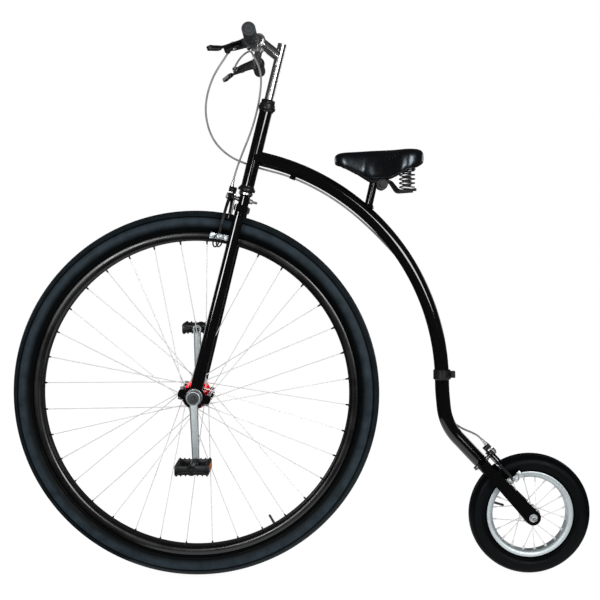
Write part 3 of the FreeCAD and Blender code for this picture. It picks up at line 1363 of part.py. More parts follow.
def spokes(centre, count, first_angle, cross_angle, hub, rim_radius, radius):
    """Laced spokes.  Holes alternate between the flanges, and pairs of neighbours lean alike."""
    pieces = []
    hole_radius, flange_radius, flange_offset, flange_thickness = hub
    run, length = flange_exit(hole_radius, flange_radius, rim_radius, cross_angle)
    beside = flange_thickness / 2 + radius * 1.1 + SEAT_CLEARANCE
    outside = beside + flange_offset / length * (run + 2)
    for index in range(count):
        side = RIGHT if index % 2 == 0 else LEFT
        lean = 1 if index % 4 in (0, 1) else -1
        rim_angle = math.radians(first_angle - index * 360 / count)
        hub_angle = rim_angle + math.radians(lean * cross_angle)
        face = side * (flange_offset + (outside if lean == 1 else -beside))
        hub_end = centre + point(hole_radius * math.cos(hub_angle), face, hole_radius * math.sin(hub_angle))
        radial = point(math.cos(rim_angle), 0, math.sin(rim_angle))
        inward = (hub_end - centre - radial * rim_radius).normalize()
        tilt = inward.cross(radial).Length
        rim_end = centre + radial * rim_radius + inward * (NIPPLE_RADIUS * tilt + SEAT_CLEARANCE)
        spoke = rod(radius, hub_end + inward * 1.5, rim_end)
        nipple = rod(NIPPLE_RADIUS, rim_end, rim_end + inward * NIPPLE_LENGTH)
        pieces.append(joined([spoke, nipple]))
    return Part.makeCompound(pieces)


def hub_shell(centre, shell_radius, hub, end, bore):
    """A turned hub with a slim waist and two drilled flanges."""
    _, flange_radius, flange_offset, flange_thickness = hub
    half = flange_thickness / 2
    outline = polygon_edges([
        point(0, -end, bore),
        point(0, -end, shell_radius + 1),
        point(0, -flange_offset - half, shell_radius + 3),
        point(0, -flange_offset - half, flange_radius),
        point(0, -flange_offset + half, flange_radius),
        point(0, -flange_offset + half, shell_radius + 4),
        point(0, -flange_offset + half + 7, shell_radius),
        point(0, flange_offset - half - 7, shell_radius),
        point(0, flange_offset - half, shell_radius + 4),
        point(0, flange_offset - half, flange_radius),
        point(0, flange_offset + half, flange_radius),
        point(0, flange_offset + half, shell_radius + 3),
        point(0, end, shell_radius + 1),
        point(0, end, bore),
    ])
    body = revolved(outline, Vector(0, 0, 0), Y_AXIS)
    body.translate(centre)
    return body


def valve(centre, rim_inner_radius, angle):
    """A tyre valve that stands in from the rim."""
    turn = math.radians(angle)
    way = point(math.cos(turn), 0, math.sin(turn))
    foot = centre + way * (rim_inner_radius - SEAT_CLEARANCE)
    tip = centre + way * (rim_inner_radius - VALVE_LENGTH)
    return joined([rod(VALVE_RADIUS, foot, tip), rod(VALVE_RADIUS + 1.2, foot, foot - way * 5)])


def crank_angle(side):
    """Direction from the front axle to a pedal eye; the left crank points down, the right one up."""
    lean = math.radians(CRANK_LEAN)
    return point(math.sin(lean), 0, -math.cos(lean)) * (1 if side == LEFT else -1)


def crank(side):
    """A forged crank: round boss, tapered bar and pedal eye."""
    near = side * CRANK_INNER_FACE
    far = side * CRANK_OUTER_FACE
    bar = tapered_bar(CRANK_BAR_ROOT_RADIUS, CRANK_BAR_TIP_RADIUS, CRANK_LENGTH, near, far)
    boss = rod(CRANK_BOSS_RADIUS, point(0, near, 0), point(0, far + side * CRANK_BOSS_RISE, 0))
    eye = rod(CRANK_EYE_RADIUS, point(0, near, CRANK_LENGTH), point(0, far, CRANK_LENGTH))
    half = SPINDLE_SQUARE / 2
    low, high = sorted((near, far + side * CRANK_BOSS_RISE))
    square = box_between(point(-half, low, -half), point(half, high, half))
    thread = rod(PEDAL_THREAD_RADIUS + SEAT_CLEARANCE, point(0, near, CRANK_LENGTH), point(0, far, CRANK_LENGTH))
    body = joined([bar, boss, eye]).cut(square).cut(thread)
    direction = crank_angle(side)
    body.rotate(Vector(0, 0, 0), Y_AXIS, math.degrees(math.atan2(direction.x, direction.z)))
    body.translate(FRONT_AXLE)
    return body


def front_spindle():
    """The round spindle with a square at each end for the cranks."""
    half = SPINDLE_SQUARE / 2
    pieces = [rod(SPINDLE_RADIUS, point(0, -SPINDLE_SHOULDER, 0), point(0, SPINDLE_SHOULDER, 0))]
    for side in SIDES.values():
        low, high = sorted((side * SPINDLE_SHOULDER, side * SPINDLE_END))
        pieces.append(box_between(point(-half, low, -half), point(half, high, half)))
    body = joined(pieces)
    body.rotate(Vector(0, 0, 0), Y_AXIS, 180 - CRANK_LEAN)
    body.translate(FRONT_AXLE)
    return body


def crank_bolt(side):
    """The bolt that holds a crank on its square."""
    face = CRANK_OUTER_FACE + CRANK_BOSS_RISE
    return joined([
        rod(6, FRONT_AXLE + point(0, side * SPINDLE_END, 0), FRONT_AXLE + point(0, side * face, 0)),
        rod(8.5, FRONT_AXLE + point(0, side * face, 0), FRONT_AXLE + point(0, side * (face + 3), 0)),
    ])


def pedal_centre(side):
    """Middle of a pedal on its spindle."""
    out = CRANK_OUTER_FACE + PEDAL_GAP + PEDAL_WIDTH / 2
    return FRONT_AXLE + crank_angle(side) * CRANK_LENGTH + point(0, side * out, 0)


def pedal_spindle(side):
    """A pedal's spindle, screwed into its crank's eye."""
    middle = pedal_centre(side)
    eye_in = point(middle.x, side * CRANK_INNER_FACE, middle.z)
    eye_out = point(middle.x, side * CRANK_OUTER_FACE, middle.z)
    flange = eye_out + point(0, side * (PEDAL_GAP - 2), 0)
    end = middle + point(0, side * (PEDAL_WIDTH / 2 - 12), 0)
    return joined([
        rod(PEDAL_THREAD_RADIUS, eye_in, eye_out),
        rod(8.5, eye_out, flange),
        rod(PEDAL_SPINDLE_RADIUS, eye_out, end),
    ])


def reflector_blocks():
    """The two reflectors of a pedal whose middle is at the origin."""
    blocks = []
    for end in (-1, 1):
        low, high = sorted((end * (PEDAL_DEPTH / 2 - REFLECTOR_THICKNESS), end * PEDAL_DEPTH / 2))
        half_width = PEDAL_WIDTH / 2 - 18
        half_height = REFLECTOR_HEIGHT / 2
        blocks.append(box_between(
            point(low, -half_width, -half_height),
            point(high, half_width, half_height),
        ))
    return Part.makeCompound(blocks)


def pedal(side):
    """A moulded platform: barrel round the spindle, end plates and front and rear treads."""
    half_width = PEDAL_WIDTH / 2
    half_depth = PEDAL_DEPTH / 2
    half_height = PEDAL_HEIGHT / 2
    block = box_between(
        point(-half_depth, -half_width, -half_height),
        point(half_depth, half_width, half_height),
    )
    edges = [edge for edge in block.Edges if edge.BoundBox.ZLength > PEDAL_HEIGHT - 1]
    body = block.makeFillet(12, edges)
    for x_side in (-1, 1):
        for y_side in (-1, 1):
            x_low, x_high = sorted((x_side * PEDAL_BARREL_RADIUS, x_side * (half_depth - PEDAL_RAIL)))
            y_low, y_high = sorted((y_side * 3, y_side * (half_width - PEDAL_RAIL)))
            body = body.cut(box_between(point(x_low, y_low, -50), point(x_high, y_high, 50)))
    bore = rod(
        PEDAL_SPINDLE_RADIUS + RUNNING_CLEARANCE,
        point(0, -side * (half_width + 1), 0),
        point(0, side * (half_width - 11), 0),
    )
    body = body.cut(bore).cut(reflector_blocks())
    body.translate(pedal_centre(side))
    return body


def pedal_reflectors(side):
    """Reflectors set in the front and rear treads."""
    blocks = reflector_blocks()
    blocks.translate(pedal_centre(side))
    return blocks


# ---------------------------------------------------------------------------------------------------------
# Cables.  Points are chosen along each cable's route.
# ---------------------------------------------------------------------------------------------------------

def front_brake_cable():
    """From the right lever over the bar, behind it and down in front of the head to the front brake."""
    end = housing_end(FRONT_BRAKE)
    route = [
        lever_cable_exit(RIGHT, 0),
        lever_cable_exit(RIGHT, 13),
        (-103, 94, 838),
        (-90, 80, 855),
        (-77, 62, 860),
        (-70, 45, 852),
        (-58, 32, 838),
        (-43, 26, 820),
        (-30, 21, 790),
        (-24, 19.8, 745),
        (-22.9, 20, 700),
        (-26, 23, 655),
        (-34, 30, 605),
        (end.x, end.y, end.z + 30),
        (end.x, end.y, end.z),
    ]
    return swept_rod(cable_path([steering_point(*place) for place in route]), CABLE_RADIUS)


def rear_cable_route():
    """From the left lever round in front of the head, under the backbone and down to the rear brake."""
    round_head = [
        lever_cable_exit(LEFT, 0),
        lever_cable_exit(LEFT, 9),
        (-117, -110.5, 801),
        (-125, -107.5, 781),
        (-133, -102, 757),
        (-138, -92, 730),
        (-139.7, -78, 703),
        (-137, -63, 678),
        (-130, -48, 655),
        (-118, -33, 632),
        (-100, -17, 611),
        (-78, -2, 597),
        (-55, 10, 588),
        (-30, 20, 583.5),
        (0, 24.5, 581),
        (30, 14, 579),
    ]
    under_curve = [                     # angle, distance outside the centre line, y
        (70, -20.6, 7),
        (63.5, -20.8, 5),
        (57, -20.8, 4),
        (50.5, -20.8, 5),
        (44, -20, 8),
        (37.5, -16, 13.5),
        (31, -9, 19),
        (24.5, 0, 21),
        (18, 0, 21.3),
        (11.5, 0, 22),
        (5, 0, 24.6),
    ]
    past_collar = [(608.9, 24.6, 478), (611, 22.5, 440), (615.5, 20.6, 405)]
    end = housing_end(REAR_BRAKE)
    to_brake = [
        (12, 21.3, 297),
        (20, 13.5, 280),
        (24, 1.5, 266),
        (33, -16, 251),
        (39, -31, 239),
        (end.x, end.y, end.z + 13),
        (end.x, end.y, end.z),
    ]
    places = [steering_point(*place) for place in round_head]
    places += [curve_point(*place) for place in under_curve]
    places += [point(*place) for place in past_collar]
    places += [rear_fork_point(*place) for place in to_brake]
    return cable_path(places)


def rear_cable():
    return swept_rod(rear_cable_route(), CABLE_RADIUS)


def split_cylinder(radius):
    """The round space about the steering axis where the cable is held by the frame."""
    return leaned_with_steering(rod(radius, point(0, 0, 540), point(0, 0, 620)))


def rear_brake_cable():
    """The stretch of the rear brake's cable that the frame holds."""
    whole = rear_cable()
    inside = whole.common(split_cylinder(CABLE_SPLIT_RADIUS))
    rear_side = leaned_with_steering(box_between(point(0, -200, -600), point(1200, 200, 1200)))
    return joined([inside, whole.common(rear_side)])


def rear_cable_loop():
    """The stretch that swings with the handlebar."""
    whole = rear_cable()
    front_side = leaned_with_steering(box_between(point(-400, -300, 0), point(0, 300, 1000)))
    return whole.common(front_side).cut(split_cylinder(CABLE_SPLIT_RADIUS + CABLE_SPLIT_GAP))


# ---------------------------------------------------------------------------------------------------------
# All the nodes
# ---------------------------------------------------------------------------------------------------------

def pair(maker, *details):
    """The left and the right piece of one kind, as one compound."""
    return Part.makeCompound([maker(*details, side) for side in SIDES.values()])


def front_wheel_nodes():
    hub = (
        FRONT_HUB_HOLE_RADIUS,
        FRONT_HUB_FLANGE_RADIUS,
        FRONT_HUB_FLANGE_OFFSET,
        FRONT_HUB_FLANGE_THICKNESS,
    )
    return {
        "front_tyre": tyre(
            FRONT_AXLE, FRONT_TYRE_RADIUS, FRONT_TYRE_WIDTH, FRONT_BEAD_RADIUS, FRONT_RIM_WIDTH,
        ),
        "front_rim": rim(
            FRONT_AXLE, FRONT_FLANGE_RADIUS, FRONT_RIM_INNER_RADIUS, FRONT_BEAD_RADIUS, FRONT_RIM_WIDTH,
        ),
        "front_hub": hub_shell(
            FRONT_AXLE, FRONT_HUB_SHELL_RADIUS, hub, FRONT_HUB_END, SPINDLE_RADIUS + SEAT_CLEARANCE,
        ),
        "front_spokes": spokes(
            FRONT_AXLE, FRONT_SPOKES, FRONT_FIRST_HOLE_ANGLE, FRONT_SPOKE_CROSS_ANGLE, hub,
            FRONT_RIM_INNER_RADIUS, FRONT_SPOKE_RADIUS,
        ),
        "front_spindle": front_spindle(),
        "front_valve": valve(FRONT_AXLE, FRONT_RIM_INNER_RADIUS, FRONT_VALVE_ANGLE),
        "cranks": pair(crank),
        "crank_bolts": pair(crank_bolt),
        "pedal_spindles": pair(pedal_spindle),
    }


def rear_wheel_nodes():
    hub = (
        REAR_HUB_HOLE_RADIUS,
        REAR_HUB_FLANGE_RADIUS,
        REAR_HUB_FLANGE_OFFSET,
        REAR_HUB_FLANGE_THICKNESS,
    )
    return {
        "rear_tyre": tyre(REAR_AXLE, REAR_TYRE_RADIUS, REAR_TYRE_WIDTH, REAR_BEAD_RADIUS, REAR_RIM_WIDTH),
        "rear_rim": rim(
            REAR_AXLE, REAR_FLANGE_RADIUS, REAR_RIM_INNER_RADIUS, REAR_BEAD_RADIUS, REAR_RIM_WIDTH,
        ),
        "rear_hub": hub_shell(
            REAR_AXLE, REAR_HUB_SHELL_RADIUS, hub, REAR_HUB_END, REAR_AXLE_CORE_RADIUS + RUNNING_CLEARANCE,
        ),
        "rear_spokes": spokes(
            REAR_AXLE, REAR_SPOKES, REAR_FIRST_HOLE_ANGLE, REAR_SPOKE_CROSS_ANGLE, hub,
            REAR_RIM_INNER_RADIUS, REAR_SPOKE_RADIUS,
        ),
        "rear_valve": valve(REAR_AXLE, REAR_RIM_INNER_RADIUS, REAR_VALVE_ANGLE),
    }


def frame_nodes():
    return {
        "head_tube": head_tube(),
        "headset_cups": headset_cups(),
        "backbone_upper": backbone_upper(),
        "backbone_lower": backbone_lower(),
        "backbone_collar": backbone_collar(),
        "rear_fork": rear_fork(),
        "rear_axle": rear_axle(),
        "rear_axle_nuts": rear_axle_nuts(),
        "seat_post": seat_post(),
        "saddle_clamp": saddle_clamp(),
        "saddle_rails": saddle_rails(),
        "saddle_springs": saddle_springs(),
        "saddle_base": saddle_base(),
        "saddle": saddle(),
        "rear_brake_arms": leaned_with_rear_fork(pair(brake_arm, REAR_BRAKE)),
        "rear_brake_pads": leaned_with_rear_fork(pair(brake_pad, REAR_BRAKE)),
        "rear_pad_holders": leaned_with_rear_fork(pair(pad_holder, REAR_BRAKE)),
        "rear_brake_fittings": leaned_with_rear_fork(Part.makeCompound(brake_fittings(REAR_BRAKE))),
        "rear_brake_cable": rear_brake_cable(),
    }


def steering_nodes():
    return {
        "fork_crown": fork_crown(),
        "fork_blades": pair(fork_blade),
        "bearing_caps": pair(bearing_cap),
        "fork_bearings": fork_bearings(),
        "headset_locknut": headset_locknut(),
        "stem": stem(),
        "steering_bolts": Part.makeCompound(bearing_cap_bolts() + stem_bolts()),
        "handlebar": handlebar(),
        "grips": pair(grip),
        "brake_lever_bodies": pair(lever_body),
        "brake_lever_blades": pair(lever_blade),
        "front_brake_arms": leaned_with_steering(pair(brake_arm, FRONT_BRAKE)),
        "front_brake_pads": leaned_with_steering(pair(brake_pad, FRONT_BRAKE)),
        "front_pad_holders": leaned_with_steering(pair(pad_holder, FRONT_BRAKE)),
        "front_brake_fittings": leaned_with_steering(Part.makeCompound(brake_fittings(FRONT_BRAKE))),
        "front_brake_cable": front_brake_cable(),
        "rear_cable_loop": rear_cable_loop(),
    }


def nodes():
    """Every node's name and its shape."""
    table = frame_nodes()
    table.update(steering_nodes())
    table.update(front_wheel_nodes())
    table.update(rear_wheel_nodes())
    for name, side in SIDES.items():
        table["pedal_" + name] = pedal(side)
        table["pedal_reflectors_" + name] = pedal_reflectors(side)
    return table


def main():
    os.makedirs("parts", exist_ok=True)
    for name, shape in nodes().items():
        shape.translate(RIDER_PLACE * -1)
        shape.exportStep("parts/" + name + ".step")


main()
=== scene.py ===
"""A penny farthing bicycle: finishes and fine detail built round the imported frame."""
import json
import logging
import math
from dataclasses import dataclass
from enum import Enum
from typing import ClassVar, Iterable, Sequence

import bmesh
import bpy
from mathutils import Matrix, Vector


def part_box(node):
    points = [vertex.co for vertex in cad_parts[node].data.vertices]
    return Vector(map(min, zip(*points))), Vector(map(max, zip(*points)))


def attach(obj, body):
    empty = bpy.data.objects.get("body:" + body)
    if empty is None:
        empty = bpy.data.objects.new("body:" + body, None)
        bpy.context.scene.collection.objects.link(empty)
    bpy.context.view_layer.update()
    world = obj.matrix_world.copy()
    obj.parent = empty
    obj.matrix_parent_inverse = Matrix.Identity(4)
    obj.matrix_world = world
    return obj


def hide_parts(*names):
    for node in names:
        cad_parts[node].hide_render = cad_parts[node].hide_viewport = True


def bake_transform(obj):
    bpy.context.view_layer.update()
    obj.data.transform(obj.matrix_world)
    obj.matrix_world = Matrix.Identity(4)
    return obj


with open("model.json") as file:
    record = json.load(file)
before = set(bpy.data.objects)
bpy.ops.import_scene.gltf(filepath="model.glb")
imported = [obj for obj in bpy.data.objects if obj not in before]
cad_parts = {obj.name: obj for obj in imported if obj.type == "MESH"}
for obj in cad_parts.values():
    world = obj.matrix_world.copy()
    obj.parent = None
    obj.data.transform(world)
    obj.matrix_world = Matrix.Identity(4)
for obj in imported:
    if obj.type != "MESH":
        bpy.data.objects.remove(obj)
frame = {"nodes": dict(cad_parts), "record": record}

LOG = logging.getLogger("penny_farthing")
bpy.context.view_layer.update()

MM = 0.001
RIDER_PLACE = Vector((492.0, 0.0, 1046.0))      # this and the sizes below are in millimetres
FRONT_RADIUS = 453.5
REAR_RADIUS = 150.5
WHEELBASE = 825.0
HEAD_ANGLE = math.radians(14.4)
HEAD_TUBE_BOTTOM = 529.0        # this and the next two heights run along the steering axis from the front axle
HEAD_TUBE_TOP = 715.0
BAR_HEIGHT = 878.0
BAR_REACH = 57.0
CURVE_CENTRE = Vector((39.9, 0.0, 477.0))
CURVE_RADIUS = 568.8
BACKBONE_FOOT = Vector((617.4, 0.0, 373.0))
GROUND = -RIDER_PLACE.z * MM                    # in metres

UP = Vector((0.0, 0.0, 1.0))

Pair = tuple[float, float]
Triple = tuple[float, float, float]
Place = Sequence[float]
BMesh = bmesh.types.BMesh
Material = bpy.types.Material
Socket = bpy.types.NodeSocket


class Side(Enum):
    """The two sides of the bicycle, as the sign of Y."""

    LEFT = -1
    RIGHT = 1

    def way(self) -> Vector:
        """Returns the direction from the middle of the bicycle to this side."""
        return Vector((0.0, self.value, 0.0))


def front_axle() -> Vector:
    """Returns the middle of the front axle, from the front wheel's contact patch."""
    return Vector((0.0, 0.0, FRONT_RADIUS))


def rear_axle() -> Vector:
    """Returns the middle of the rear axle."""
    return Vector((WHEELBASE, 0.0, REAR_RADIUS))


def rear_fork_lean() -> float:
    """Returns the angle of the rear fork's blades about Y, from the upright."""
    line = BACKBONE_FOOT - rear_axle()
    return math.atan2(line.x, line.z)


class Datum(Enum):
    """The frames that pieces are modelled in, in millimetres: rearward, to the rider's right, and up or along."""

    BICYCLE = (Vector((0.0, 0.0, 0.0)), 0.0)
    FRONT_WHEEL = (front_axle(), 0.0)
    STEERING = (front_axle(), HEAD_ANGLE)
    REAR_WHEEL = (rear_axle(), 0.0)
    REAR_FORK = (rear_axle(), rear_fork_lean())

    def matrix(self) -> Matrix:
        """Returns the matrix from this frame's millimetres to the bicycle's millimetres."""
        origin, lean = self.value
        return Matrix.Translation(origin) @ Matrix.Rotation(lean, 4, "Y")


def to_object() -> Matrix:
    """Returns the matrix from the bicycle's millimetres to the object's metres from the rider's place."""
    return Matrix.Scale(MM, 4) @ Matrix.Translation(-RIDER_PLACE)


def aimed(at: Place, way: Place) -> Matrix:
    """Returns the matrix that turns +Z to a direction and moves the origin to a point."""
    turn = UP.rotation_difference(Vector(way)).to_matrix().to_4x4()
    return Matrix.Translation(Vector(at)) @ turn


def polar(radius: float, angle: float, across: float = 0.0) -> Vector:
    """Returns a point round a wheel's axle, its angle in radians from straight behind, upwards."""
    return Vector((radius * math.cos(angle), across, radius * math.sin(angle)))


def curve_place(angle: float, offset: float, across: float) -> Vector:
    """Returns a point beside the backbone's curve, its angle in degrees, in the bicycle's millimetres."""
    return CURVE_CENTRE + polar(CURVE_RADIUS + offset, math.radians(angle), across)


# ---- Finishes

class Graph:
    """A small helper that adds nodes to a material and joins them."""

    def __init__(self, name: str) -> None:
        """Starts a material whose tree holds only an output and one surface shader.

        Args:
            name: The material's name.
        """
        self.material = bpy.data.materials.new(name)
        self.material.use_nodes = True
        self.tree = self.material.node_tree
        self.shader = self.tree.nodes["Principled BSDF"]
        self.coordinates = self.tree.nodes.new("ShaderNodeTexCoord").outputs["Object"]

    def node(self, kind: str, values: dict[str, object] | None = None, **options: object) -> bpy.types.Node:
        """Adds a node.

        Args:
            kind: Blender's name of the node without its "ShaderNode" prefix.
            values: What its input sockets are set or joined to.
            options: Properties of the node itself.

        Returns:
            The new node.
        """
        made = self.tree.nodes.new("ShaderNode" + kind)
        for key, value in options.items():
            setattr(made, key, value)
        for key, value in (values or {}).items():
            self.feed(made.inputs[key], value)
        return made

    def feed(self, socket: Socket, value: object) -> None:
        """Joins a socket to an output, or sets it to a plain value.

        Args:
            socket: The input socket.
            value: An output socket, or a number, vector or colour.
        """
        if isinstance(value, Socket):
            self.tree.links.new(value, socket)
        elif socket.type == "RGBA" and len(value) == 3:
            socket.default_value = (*value, 1.0)
        else:
            socket.default_value = value

    def stretched(self, scale: Triple) -> Socket:
        """Returns the object's coordinates scaled along each axis."""
        return self.node("Mapping", {"Vector": self.coordinates, "Scale": scale}).outputs["Vector"]

    def noise(self, scale: float, detail: float = 4.0, vector: Socket | None = None) -> Socket:
        """Adds a noise texture.

        Args:
            scale: How many of its grains lie along a metre.
            detail: How many finer layers it has.
            vector: Its coordinates, or None for the object's own.

        Returns:
            A value that is mostly between 0.3 and 0.7.
        """
        return self.node(
            "TexNoise",
            {"Vector": vector or self.coordinates, "Scale": scale, "Detail": detail, "Roughness": 0.55},
        ).outputs["Fac"]

    def spread(self, value: Socket, low: float, high: float, start: float = 0.3, end: float = 0.7) -> Socket:
        """Maps a range of values onto another one.

        Args:
            value: What is mapped.
            low: What the start of the range becomes.
            high: What its end becomes.
            start: The start of the range.
            end: The end of the range.

        Returns:
            The mapped value, kept between low and high.
        """
        return self.node(
            "MapRange",
            {"Value": value, "From Min": start, "From Max": end, "To Min": low, "To Max": high},
        ).outputs["Result"]

    def tint(self, value: Socket, low: Triple, high: Triple) -> Socket:
        """Mixes two colours.

        Args:
            value: The share of the second colour.
            low: The first colour.
            high: The second colour.

        Returns:
            The mixed colour.
        """
        mixed = self.node("Mix", {"Factor": value}, data_type="RGBA")
        colours = [socket for socket in mixed.inputs if socket.type == "RGBA"]
        colours[0].default_value = (*low, 1.0)
        colours[1].default_value = (*high, 1.0)
        return next(socket for socket in mixed.outputs if socket.type == "RGBA")

    def bump(self, height: Socket, strength: float, distance: float, below: Socket | None = None) -> Socket:
        """Raises a surface by a height.

        Args:
            height: The height, from 0 to 1.
            strength: How much of it shows.
            distance: How far 1 stands up, in metres.
            below: A normal that it is added to, if any.

        Returns:
            The new normal.
        """
        made = self.node("Bump", {"Height": height, "Strength": strength, "Distance": distance})
        if below is not None:
            self.feed(made.inputs["Normal"], below)
        return made.outputs["Normal"]

    def surface(self, sockets: dict[str, object]) -> Material:
        """Sets the surface shader's sockets.

        Args:
            sockets: Values or outputs by the socket's name.

        Returns:
            The finished material.
        """
        for key, value in sockets.items():
            self.feed(self.shader.inputs[key], value)
        return self.material


@dataclass(frozen=True)
class GlossPaint:
    """Deep gloss black enamel with faint orange peel and hairline scuffs."""

    name: str = "gloss_black_paint"
    colour: Triple = (0.0010, 0.0010, 0.0011)
    scuffed: Triple = (0.0028, 0.0028, 0.0030)
    roughness: float = 0.06
    specular: float = 0.6
    peel_scale: float = 420.0
    haze_scale: float = 14.0
    scuff_scale: float = 90.0
    scuff_stretch: Triple = (1.0, 1.0, 9.0)

    def build(self) -> Material:
        """Makes the material.

        Returns:
            The new material.
        """
        graph = Graph(self.name)
        peel = graph.noise(self.peel_scale, 3.0)
        haze = graph.spread(graph.noise(self.haze_scale), self.roughness * 0.75, self.roughness * 1.5)
        scuffs = graph.noise(self.scuff_scale, 6.0, graph.stretched(self.scuff_stretch))
        return graph.surface({
            "Base Color": graph.tint(graph.spread(scuffs, 0.0, 1.0, 0.52, 0.75), self.colour, self.scuffed),
            "Roughness": haze,
            "Normal": graph.bump(peel, 0.012, 0.0003),
            "Specular IOR Level": self.specular,
        })


@dataclass(frozen=True)
class SatinBlack:
    """Black coating or anodising with a fine grain and lighter worn patches."""

    name: str = "satin_black_metal"
    colour: Triple = (0.006, 0.006, 0.0065)
    worn: Triple = (0.02, 0.02, 0.022)
    roughness: float = 0.3
    specular: float = 0.4
    grain_scale: float = 1500.0
    wear_scale: float = 120.0
    haze_scale: float = 30.0

    def build(self) -> Material:
        """Makes the material.

        Returns:
            The new material.
        """
        graph = Graph(self.name)
        grain = graph.noise(self.grain_scale, 2.0)
        wear = graph.noise(self.wear_scale, 5.0)
        return graph.surface({
            "Base Color": graph.tint(graph.spread(wear, 0.0, 1.0, 0.5, 0.8), self.colour, self.worn),
            "Roughness": graph.spread(graph.noise(self.haze_scale), self.roughness * 0.8, self.roughness * 1.3),
            "Normal": graph.bump(grain, 0.12, 0.0003),
            "Specular IOR Level": self.specular,
        })


@dataclass(frozen=True)
class BrightMetal:
    """A bright metal: chrome, polished aluminium, zinc-plated or stainless steel, or anodised aluminium."""

    name: str
    colour: Triple
    dull: Triple
    roughness: float
    brushed: Triple = (1.0, 1.0, 1.0)
    grain_scale: float = 300.0
    grain_depth: float = 0.05
    metallic: float = 1.0
    cloud_scale: float = 26.0

    def build(self) -> Material:
        """Makes the material.

        Returns:
            The new material.
        """
        graph = Graph(self.name)
        cloud = graph.noise(self.cloud_scale, 5.0)
        grain = graph.noise(self.grain_scale, 5.0, graph.stretched(self.brushed))
        return graph.surface({
            "Base Color": graph.tint(graph.spread(cloud, 0.0, 1.0, 0.35, 0.75), self.colour, self.dull),
            "Roughness": graph.spread(grain, self.roughness * 0.7, self.roughness * 1.45),
            "Metallic": self.metallic,
            "Normal": graph.bump(grain, self.grain_depth, 0.0002),
        })


@dataclass(frozen=True)
class TyreRubber:
    """Black tyre rubber with a bluish painted sheen, patchy like dust, where the mesh's own attribute puts it."""

    name: str = "tyre_rubber"
    colour: Triple = (0.0012, 0.0017, 0.0020)
    # painted highlight: the bluish sheen colour of the wall's bulge, patchy like dust
    bloom: Triple = (0.0265, 0.0400, 0.0500)
    roughness: float = 0.4
    specular: float = 0.06
    dust_scale: float = 34.0
    grain_scale: float = 900.0

    def build(self) -> Material:
        """Makes the material.

        Returns:
            The new material.
        """
        graph = Graph(self.name)
        dust = graph.noise(self.dust_scale, 8.0)
        grain = graph.noise(self.grain_scale, 3.0)
        # the attribute says where the painted sheen goes; elsewhere painted shade leaves the rubber black
        where = graph.node("Attribute", attribute_name=Tyre.BLOOM).outputs["Fac"]
        patchy = graph.node("Math", {0: graph.spread(dust, 0.55, 1.0, 0.35, 0.72), 1: where}, operation="MULTIPLY")
        return graph.surface({
            "Base Color": graph.tint(patchy.outputs["Value"], self.colour, self.bloom),
            "Roughness": graph.spread(dust, self.roughness * 0.85, self.roughness * 1.25),
            "Normal": graph.bump(grain, 0.18, 0.0004, graph.bump(dust, 0.08, 0.001)),
            "Specular IOR Level": self.specular,
        })


@dataclass(frozen=True)
class Moulded:
    """Moulded rubber or plastic with a fine spark-eroded grain."""

    name: str
    colour: Triple
    light: Triple
    roughness: float
    grain_scale: float = 1400.0
    grain_depth: float = 0.2
    specular: float = 0.4
    cloud_scale: float = 45.0

    def build(self) -> Material:
        """Makes the material.

        Returns:
            The new material.
        """
        graph = Graph(self.name)
        cloud = graph.noise(self.cloud_scale, 5.0)
        return graph.surface({
            "Base Color": graph.tint(graph.spread(cloud, 0.0, 1.0, 0.35, 0.7), self.colour, self.light),
            "Roughness": graph.spread(cloud, self.roughness * 0.85, self.roughness * 1.2),
            "Normal": graph.bump(graph.noise(self.grain_scale, 2.0), self.grain_depth, 0.0003),
            "Specular IOR Level": self.specular,
        })


@dataclass(frozen=True)
class SaddleVinyl:
    """Black vinyl with a leather grain and a faintly bluish gleam."""

    name: str = "saddle_vinyl"
    colour: Triple = (0.0009, 0.0010, 0.0012)
    light: Triple = (0.0022, 0.0026, 0.0032)
    gleam: Triple = (0.78, 0.90, 1.0)
    specular: float = 0.85
    roughness: Pair = (0.24, 0.30)
    grain_scale: float = 620.0
    fold_scale: float = 160.0
    cloud_scale: float = 22.0

    def build(self) -> Material:
        """Makes the material.

        Returns:
            The new material.
        """
        graph = Graph(self.name)
        cells = graph.node("TexVoronoi", {"Vector": graph.coordinates, "Scale": self.grain_scale},
                           feature="DISTANCE_TO_EDGE").outputs["Distance"]
        folds = graph.noise(self.fold_scale, 6.0)
        cloud = graph.noise(self.cloud_scale)
        grain = graph.bump(graph.spread(cells, 0.0, 1.0, 0.0, 0.25), 0.07, 0.0002)
        return graph.surface({
            "Base Color": graph.tint(graph.spread(cloud, 0.0, 1.0, 0.3, 0.75), self.colour, self.light),
            "Roughness": graph.spread(folds, *self.roughness),
            "Normal": graph.bump(folds, 0.02, 0.0003, grain),
            "Specular IOR Level": self.specular,
            "Specular Tint": self.gleam,
        })


@dataclass(frozen=True)
class AmberReflector:
    """Clear amber plastic over a field of small prisms."""

    name: str = "amber_reflector"
    colour: Triple = (0.78, 0.27, 0.02)
    deep: Triple = (0.55, 0.13, 0.01)
    roughness: float = 0.16
    prism_scale: float = 330.0

    def build(self) -> Material:
        """Makes the material.

        Returns:
            The new material.
        """
        graph = Graph(self.name)
        prisms = graph.node("TexVoronoi", {"Vector": graph.coordinates, "Scale": self.prism_scale}).outputs["Distance"]
        return graph.surface({
            "Base Color": graph.tint(graph.spread(prisms, 0.0, 1.0, 0.1, 0.8), self.colour, self.deep),
            "Roughness": self.roughness,
            "Normal": graph.bump(prisms, 0.35, 0.0006),
            "Coat Weight": 0.6,
            "Coat Roughness": 0.04,
        })


